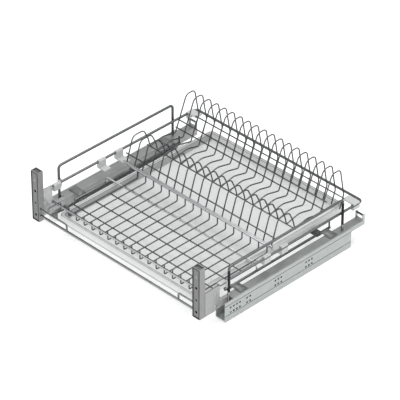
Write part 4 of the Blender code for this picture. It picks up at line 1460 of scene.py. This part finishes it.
@dataclass
class DripTray:
    """The shallow pan under both racks."""

    wall: float = 0.0015
    flange: float = 0.0025
    corner: float = 0.012
    corner_steps: int = 8
    groove_pitch: float = 0.044
    groove_width: float = 0.006
    groove_depth: float = 0.0005
    groove_slope: float = 0.0012
    skirt: float = 0.0118
    skirt_wall: float = 0.001
    bead: float = 0.0018
    line: float = 0.0013
    line_depth: float = 0.0008
    channel: float = 0.0044
    channel_depth: float = 0.0003
    bevel: float = 0.0004
    side_slope: float = 0.7
    upright_slope: float = 0.5

    def build(self) -> None:
        """Builds the pan from its floor up, over the rim and down inside, then presses its grooves."""
        low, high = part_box("drip_tray")
        piece = Piece("drip_tray", "moulded", TRAY_PLASTIC)
        bm = piece.bm
        centre = (low + high) / 2
        centre.z = 0
        inward = Vector((-2, -2, 0))
        outside = high - low
        outside.z = 0
        body = outside + inward * self.flange
        hollow = outside + inward * self.skirt_wall
        bead = outside + inward * self.bead
        outer_line = bead + inward * self.line
        channel = outer_line + inward * self.channel
        opening = channel + inward * self.line
        block(bm, centre - body / 2 + Z_AXIS * low.z, centre + body / 2 + Z_AXIS * (high.z - self.wall))
        rounded(bm, edges_along(bm, ALONG_Z, self.wall), self.corner, self.corner_steps)
        step_up = self.line_depth - self.channel_depth
        size = body
        for target, rise in (
            (hollow, 0.0),
            (hollow, -self.skirt),
            (outside, 0.0),
            (outside, self.skirt + self.wall),
            (bead, 0.0),
            (bead, -self.line_depth),
            (outer_line, 0.0),
            (outer_line, step_up),
            (channel, 0.0),
            (channel, -step_up),
            (opening, 0.0),
            (opening, low.z - high.z + self.wall + self.line_depth),
        ):
            self.step(bm, centre, (target.x / size.x, target.y / size.y), rise)
            size = target
        self.grooves(bm, low, high)
        self.colour(piece, low, high)
        piece.place(bevel=self.bevel)

    @staticmethod
    def step(bm: BMesh, centre: Vector, growth: Pair, rise: float) -> None:
        """Grows the pan by one step: the face on top is drawn to a new size and height.

        Args:
            bm: the pan's mesh.
            centre: the pan's middle.
            growth: the factors on the face's size along X and Y.
            rise: how far it moves along Z.
        """
        bm.normal_update()
        flat = [face for face in bm.faces if face.normal.z > SQUARE_ON]
        most = max(len(face.verts) for face in flat)
        moved = lifted(bm, max((f for f in flat if len(f.verts) == most), key=lambda f: f.calc_area()))
        bmesh.ops.scale(bm, vec=Vector((*growth, 1)), space=Matrix.Translation(-centre), verts=moved)
        bmesh.ops.translate(bm, vec=Z_AXIS * rise, verts=moved)

    def floor(self, bm: BMesh, z: float) -> list[BMFace]:
        """The faces of the pan's floor, which is at this height."""
        bm.normal_update()
        return [face for face in bm.faces if face.normal.z > SQUARE_ON and self.at_height(face, z)]

    def grooves(self, bm: BMesh, low: Vector, high: Vector) -> None:
        """Presses shallow grooves across the floor.

        Args:
            bm: the pan's mesh.
            low: the pan's lowest corner.
            high: its highest corner.
        """
        z = low.z + self.wall
        count = int((high.y - low.y - 2 * self.corner) / self.groove_pitch)
        start = (low.y + high.y) / 2 - (count - 1) * self.groove_pitch / 2
        middles = [start + number * self.groove_pitch for number in range(count)]
        half = self.groove_width / 2
        for y in [middle + side for middle in middles for side in (-half, half)]:
            faces = self.floor(bm, z)
            parts = [part for face in faces for part in (*face.edges, *face.verts)]
            bmesh.ops.bisect_plane(
                bm, geom=[*faces, *dict.fromkeys(parts)], plane_co=Y_AXIS * y, plane_no=Y_AXIS
            )
        strips = [
            face
            for face in self.floor(bm, z)
            if any(abs(face.calc_center_median().y - middle) < half / 2 for middle in middles)
        ]
        bmesh.ops.inset_individual(bm, faces=strips, thickness=self.groove_slope, depth=-self.groove_depth)

    def colour(self, piece: Piece, low: Vector, high: Vector) -> None:
        """Paints shade on the inner side walls, on the walls under the skirt and in the rim's two lines,
        and gives the rim's channel a darker grey.

        Args:
            piece: the pan.
            low: the pan's lowest corner.
            high: its highest corner.
        """
        floor_z = low.z + self.wall

        def in_side(face: BMFace) -> bool:
            """Whether a face belongs to the inside of the left or right wall."""
            steep = abs(face.normal.x) > self.side_slope
            lowest = min(vert.co.z for vert in face.verts)
            inner = face.normal.x * face.calc_center_median().x < 0
            return steep and inner and abs(lowest - floor_z) < WELD_DISTANCE

        def on_body(face: BMFace) -> bool:
            """Whether a face is an upright wall that starts at the pan's bottom."""
            upright = abs(face.normal.z) < self.upright_slope
            return upright and any(vert.co.z < low.z + WELD_DISTANCE for vert in face.verts)

        channel_z = high.z - self.channel_depth
        # Painted shade: the inner side walls.
        piece.paint(TRAY_SIDE_SHADE, in_side)
        # A darker grey on the rim's channel, and painted shade on the walls under the skirt.
        piece.paint(TRAY_CHANNEL_AND_SHADE, lambda face: self.at_height(face, channel_z) or on_body(face))
        # Painted shade: the rim's two grooves.
        piece.paint(TRAY_LINE_SHADE, lambda face: self.at_height(face, high.z - self.line_depth))

    @staticmethod
    def at_height(face: BMFace, z: float) -> bool:
        """Whether every corner of the face is at this height."""
        return all(abs(vert.co.z - z) < LEVEL_DISTANCE for vert in face.verts)


# Wire racks


@dataclass
class WireRack:
    """What the two racks share: the wires' pitch and radius."""

    pitch: float = 0.02563
    count: int = 19
    wire_radius: float = 0.0015

    def x(self, index: int) -> float:
        """The place of a wire across the rack, counted from the left."""
        return (index - (self.count - 1) / 2) * self.pitch


@dataclass
class CupRack(WireRack):
    """The flat grille in front."""

    floor: float = 0.068
    bend: float = 0.004
    hook_top: float = 0.0923
    hook_y: float = -0.22865
    stub_y: float = -0.01415
    stub_top: float = 0.0855
    border_index: int = 2
    border_radius: float = 0.0021
    cross_y: tuple[float, ...] = (-0.18785, -0.14435, -0.09935, -0.05585)
    cross_height: float = 0.0658
    overhang: float = 0.0053
    rim_y: float = -0.23135
    rim_thickness: float = 0.004
    rim_bottom: float = 0.0823
    rim_height: float = 0.0057
    rim_rounding: float = 0.0016
    rim_steps: int = 4
    rim_top_shade_slope: float = 0.7
    rear_rim_y: float = -0.01095
    rear_rim_z: float = 0.0847
    rear_rim_radius: float = 0.0025
    end_slope: float = 0.3

    def build(self) -> None:
        """Builds the grille's wires, its border wire and its two rims."""
        piece = Piece("cup_rack", "plated", WIRE_CHROME, Body.CUP_RACK)
        bm = piece.bm
        radius = self.wire_radius
        for index in range(self.border_index + 1, self.count):
            self.long_wire(bm, self.x(index), radius)
        self.long_wire(bm, self.x(self.border_index), self.border_radius)
        outer = self.x(self.border_index - 1)
        short = [
            (self.hook_y, self.hook_top, 0),
            (self.hook_y, self.floor, self.bend),
            (self.cross_y[0] + 2 * radius, self.floor, 0),
        ]
        stub = [(self.stub_y, self.floor, 0), (self.stub_y, self.stub_top, 0)]
        for corners in (short, stub):
            bent_rod(bm, plane_path(corners, outer, ALONG_X), radius, WIRE_SIDES)
        right = self.x(self.count - 1) + self.overhang
        z = self.cross_height
        for number, y in enumerate(self.cross_y):
            first = self.border_index - 1 if number == 0 else self.border_index
            left = self.x(first) - self.border_radius
            straight_rod(bm, (left, y, z), (right, y, z), radius, WIRE_SIDES)
        # Painted highlight: the cross wire over the crossbar is in pale chrome.
        piece.paint(PAINTED_HIGHLIGHT_CHROME, self.painted_highlight_wire)
        piece.place()
        rims = Piece("cup_rack", "rims", RIM_CHROME, Body.CUP_RACK, stands=False)
        self.front_rim(rims.bm)
        # Painted shade: the front rim's top faces take the darker wire chrome.
        rims.paint(WIRE_CHROME, lambda face: face.normal.z > self.rim_top_shade_slope)
        start = (outer - radius, self.rear_rim_y, self.rear_rim_z)
        end = (self.x(self.count - 1) + radius, self.rear_rim_y, self.rear_rim_z)
        straight_rod(rims.bm, start, end, self.rear_rim_radius)
        rims.place()

    def painted_highlight_wire(self, face: BMFace) -> bool:
        """Whether a face belongs to the cross wire that lies over the crossbar, which takes painted
        highlight.
        """
        away = face.calc_center_median() - Vector((0, self.cross_y[-1], self.cross_height))
        near = max(abs(away.y), abs(away.z)) < self.wire_radius + WELD_DISTANCE
        return near and abs(face.normal.x) < self.end_slope

    def long_wire(self, bm: BMesh, x: float, radius: float) -> None:
        """Adds a floor wire with its hook in front and its stub behind.

        Args:
            bm: the grille's mesh.
            x: the wire's place.
            radius: its radius.
        """
        rise = radius - self.wire_radius
        front, rear, floor = self.hook_y + rise, self.stub_y - rise, self.floor + rise
        corners = [
            (front, self.hook_top, 0),
            (front, floor, self.bend),
            (rear, floor, self.bend),
            (rear, self.stub_top, 0),
        ]
        bent_rod(bm, plane_path(corners, x, ALONG_X), radius, WIRE_SIDES)

    def front_rim(self, bm: BMesh) -> None:
        """Adds the flat bar along the front, with rounded edges."""
        x, half = self.x(self.count - 1), self.rim_thickness / 2
        low = (-x, self.rim_y - half, self.rim_bottom)
        verts = block(bm, low, (x, self.rim_y + half, self.rim_bottom + self.rim_height))
        rounded(bm, ring_edges(verts), self.rim_rounding, self.rim_steps)


@dataclass
class PlateRack(WireRack):
    """The bent plate wires behind, on their cross wires."""

    front: float = -0.00035
    depth: float = 0.2323
    base: float = 0.071
    height: float = 0.108
    corner_shares: tuple[Triple, ...] = (
        (0.000, 0.083, 0.000),
        (0.088, 0.665, 0.130),
        (0.235, 0.667, 0.130),
        (0.293, 0.403, 0.280),
        (0.321, 0.167, 0.037),
        (0.495, 0.256, 0.420),
        (0.669, 0.160, 0.046),
        (0.8265, 0.998, 0.140),
        (0.9406, 1.000, 0.110),
        (1.000, 0.315, 0.090),
        (0.947, 0.000, 0.000),
    )
    rim: str = "plate_front_rim"
    places: tuple[str, ...] = ("mid", "valley", "floor", "back", "rear")

    def build(self) -> None:
        """Builds the nineteen plate wires and the six cross wires."""
        corners = [
            (self.front + y * self.depth, self.base + z * self.height, radius * self.height)
            for y, z, radius in self.corner_shares
        ]
        for index in range(self.count):
            piece = Piece(f"plate_wire_{index + 1:02d}", "plated", WIRE_CHROME, Body.PLATE_RACK)
            bent_rod(piece.bm, plane_path(corners, self.x(index), ALONG_X), self.wire_radius, WIRE_SIDES)
            piece.place()
        for node in (self.rim, *[f"plate_{place}_wire" for place in self.places]):
            low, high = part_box(node)
            y, z = (low.y + high.y) / 2, (low.z + high.z) / 2
            finish = RIM_CHROME if node == self.rim else WIRE_CHROME
            piece = Piece(node, "plated", finish, Body.PLATE_RACK)
            straight_rod(piece.bm, (low.x, y, z), (high.x, y, z), (high.y - low.y) / 2)
            piece.place()


# Studio


@dataclass(frozen=True)
class Lamp:
    """A square lamp that faces the rack."""

    name: str
    place: Triple
    power: float
    size: float

    def build(self) -> None:
        """Puts the lamp into the scene."""
        lamp = bpy.data.lights.new(self.name, "AREA")
        lamp.energy = self.power
        lamp.size = self.size
        holder = linked(self.name, lamp)
        holder.location = self.place
        holder.rotation_euler = Vector(self.place).to_track_quat("Z", "Y").to_euler()


@dataclass
class Studio:
    """The floor, the lamps, the world and the camera."""

    azimuth: float = math.radians(45.30)
    elevation: float = math.radians(34.885)
    distance: float = 6.5799
    aim_right: float = 0.001926
    aim_up: float = 0.07118
    aim_shift: float = 0.00465
    lens: float = 261.8
    sensor: float = 36.0
    clip_share: float = 10.0
    floor_size: float = 30.0
    floor_drop: float = 0.0005
    floor_tone: float = 0.9
    floor_roughness: float = 0.9
    floor_glow: float = 0.35
    world_level: float = 0.62
    lamps: tuple[Lamp, ...] = (
        Lamp("top_lamp", (0.2, 0.4, 3.0), 46.0, 2.8),
        Lamp("key_lamp", (2.2, -1.6, 2.2), 9.0, 1.8),
    )

    def build(self) -> None:
        """Builds the whole studio."""
        self.floor()
        self.world()
        for lamp in self.lamps:
            lamp.build()
        self.camera()
        bpy.context.scene.view_settings.view_transform = "Standard"

    def floor(self) -> None:
        """A wide pale floor, white to the camera where nothing shades it."""
        bm = bmesh.new()
        bmesh.ops.create_grid(bm, x_segments=1, y_segments=1, size=self.floor_size / 2)
        mesh = bpy.data.meshes.new("floor")
        bm.to_mesh(mesh)
        bm.free()
        floor = linked("floor", mesh)
        floor.location.z = -self.floor_drop
        tone = self.floor_tone
        sheet = NodeSheet(
            "studio_floor",
            Base_Color=(tone, tone, tone, 1),
            Roughness=self.floor_roughness,
            Emission_Color=WHITE,
            Emission_Strength=self.floor_glow,
        )
        mesh.materials.append(sheet.material)

    def world(self) -> None:
        """An even pale world that camera, glossy and clear rays see as white."""
        world = bpy.data.worlds.new("studio_world")
        bpy.context.scene.world = world
        world.use_nodes = True
        tree = world.node_tree
        background = tree.nodes["Background"]
        background.inputs["Color"].default_value = WHITE
        path = tree.nodes.new("ShaderNodeLightPath")
        seen = path.outputs["Is Camera Ray"]
        for output in ("Is Glossy Ray", "Is Transmission Ray"):
            either = tree.nodes.new("ShaderNodeMath")
            either.operation = "MAXIMUM"
            tree.links.new(seen, either.inputs[0])
            tree.links.new(path.outputs[output], either.inputs[1])
            seen = either.outputs[0]
        level = tree.nodes.new("ShaderNodeMapRange")
        level.inputs["To Min"].default_value = self.world_level
        level.inputs["To Max"].default_value = 1.0
        tree.links.new(seen, level.inputs["Value"])
        tree.links.new(level.outputs["Result"], background.inputs["Strength"])

    def camera(self) -> None:
        """The camera of the photograph."""
        right = Vector((math.cos(self.azimuth), math.sin(self.azimuth), 0))
        level = Vector((math.sin(self.azimuth), -math.cos(self.azimuth), 0))
        back = level * math.cos(self.elevation) + Z_AXIS * math.sin(self.elevation)
        up = back.cross(right)
        data = bpy.data.cameras.new("camera")
        data.lens = self.lens
        data.sensor_width = self.sensor
        data.clip_end = self.distance * self.clip_share
        camera = linked("camera", data)
        place = right * self.aim_right + up * self.aim_up + back * self.distance + Y_AXIS * self.aim_shift
        turn = Matrix((right, up, back)).transposed().to_4x4()
        camera.matrix_world = Matrix.Translation(place) @ turn
        bpy.context.scene.camera = camera


def main() -> None:
    """Builds the studio and every sub-assembly."""
    logging.basicConfig(level=logging.INFO, format="%(message)s")
    Studio().build()
    for side in Side:
        Runner(side).build()
        FrontPost(side).build()
        for kind in ("front", "bar", "middle", "rear"):
            RodClip(side, kind).build()
    RodFrame().build()
    for side in Side:
        SideRods(side).build()
    DripTray().build()
    CupRack().build()
    PlateRack().build()


if __name__ == "__main__":
    main()
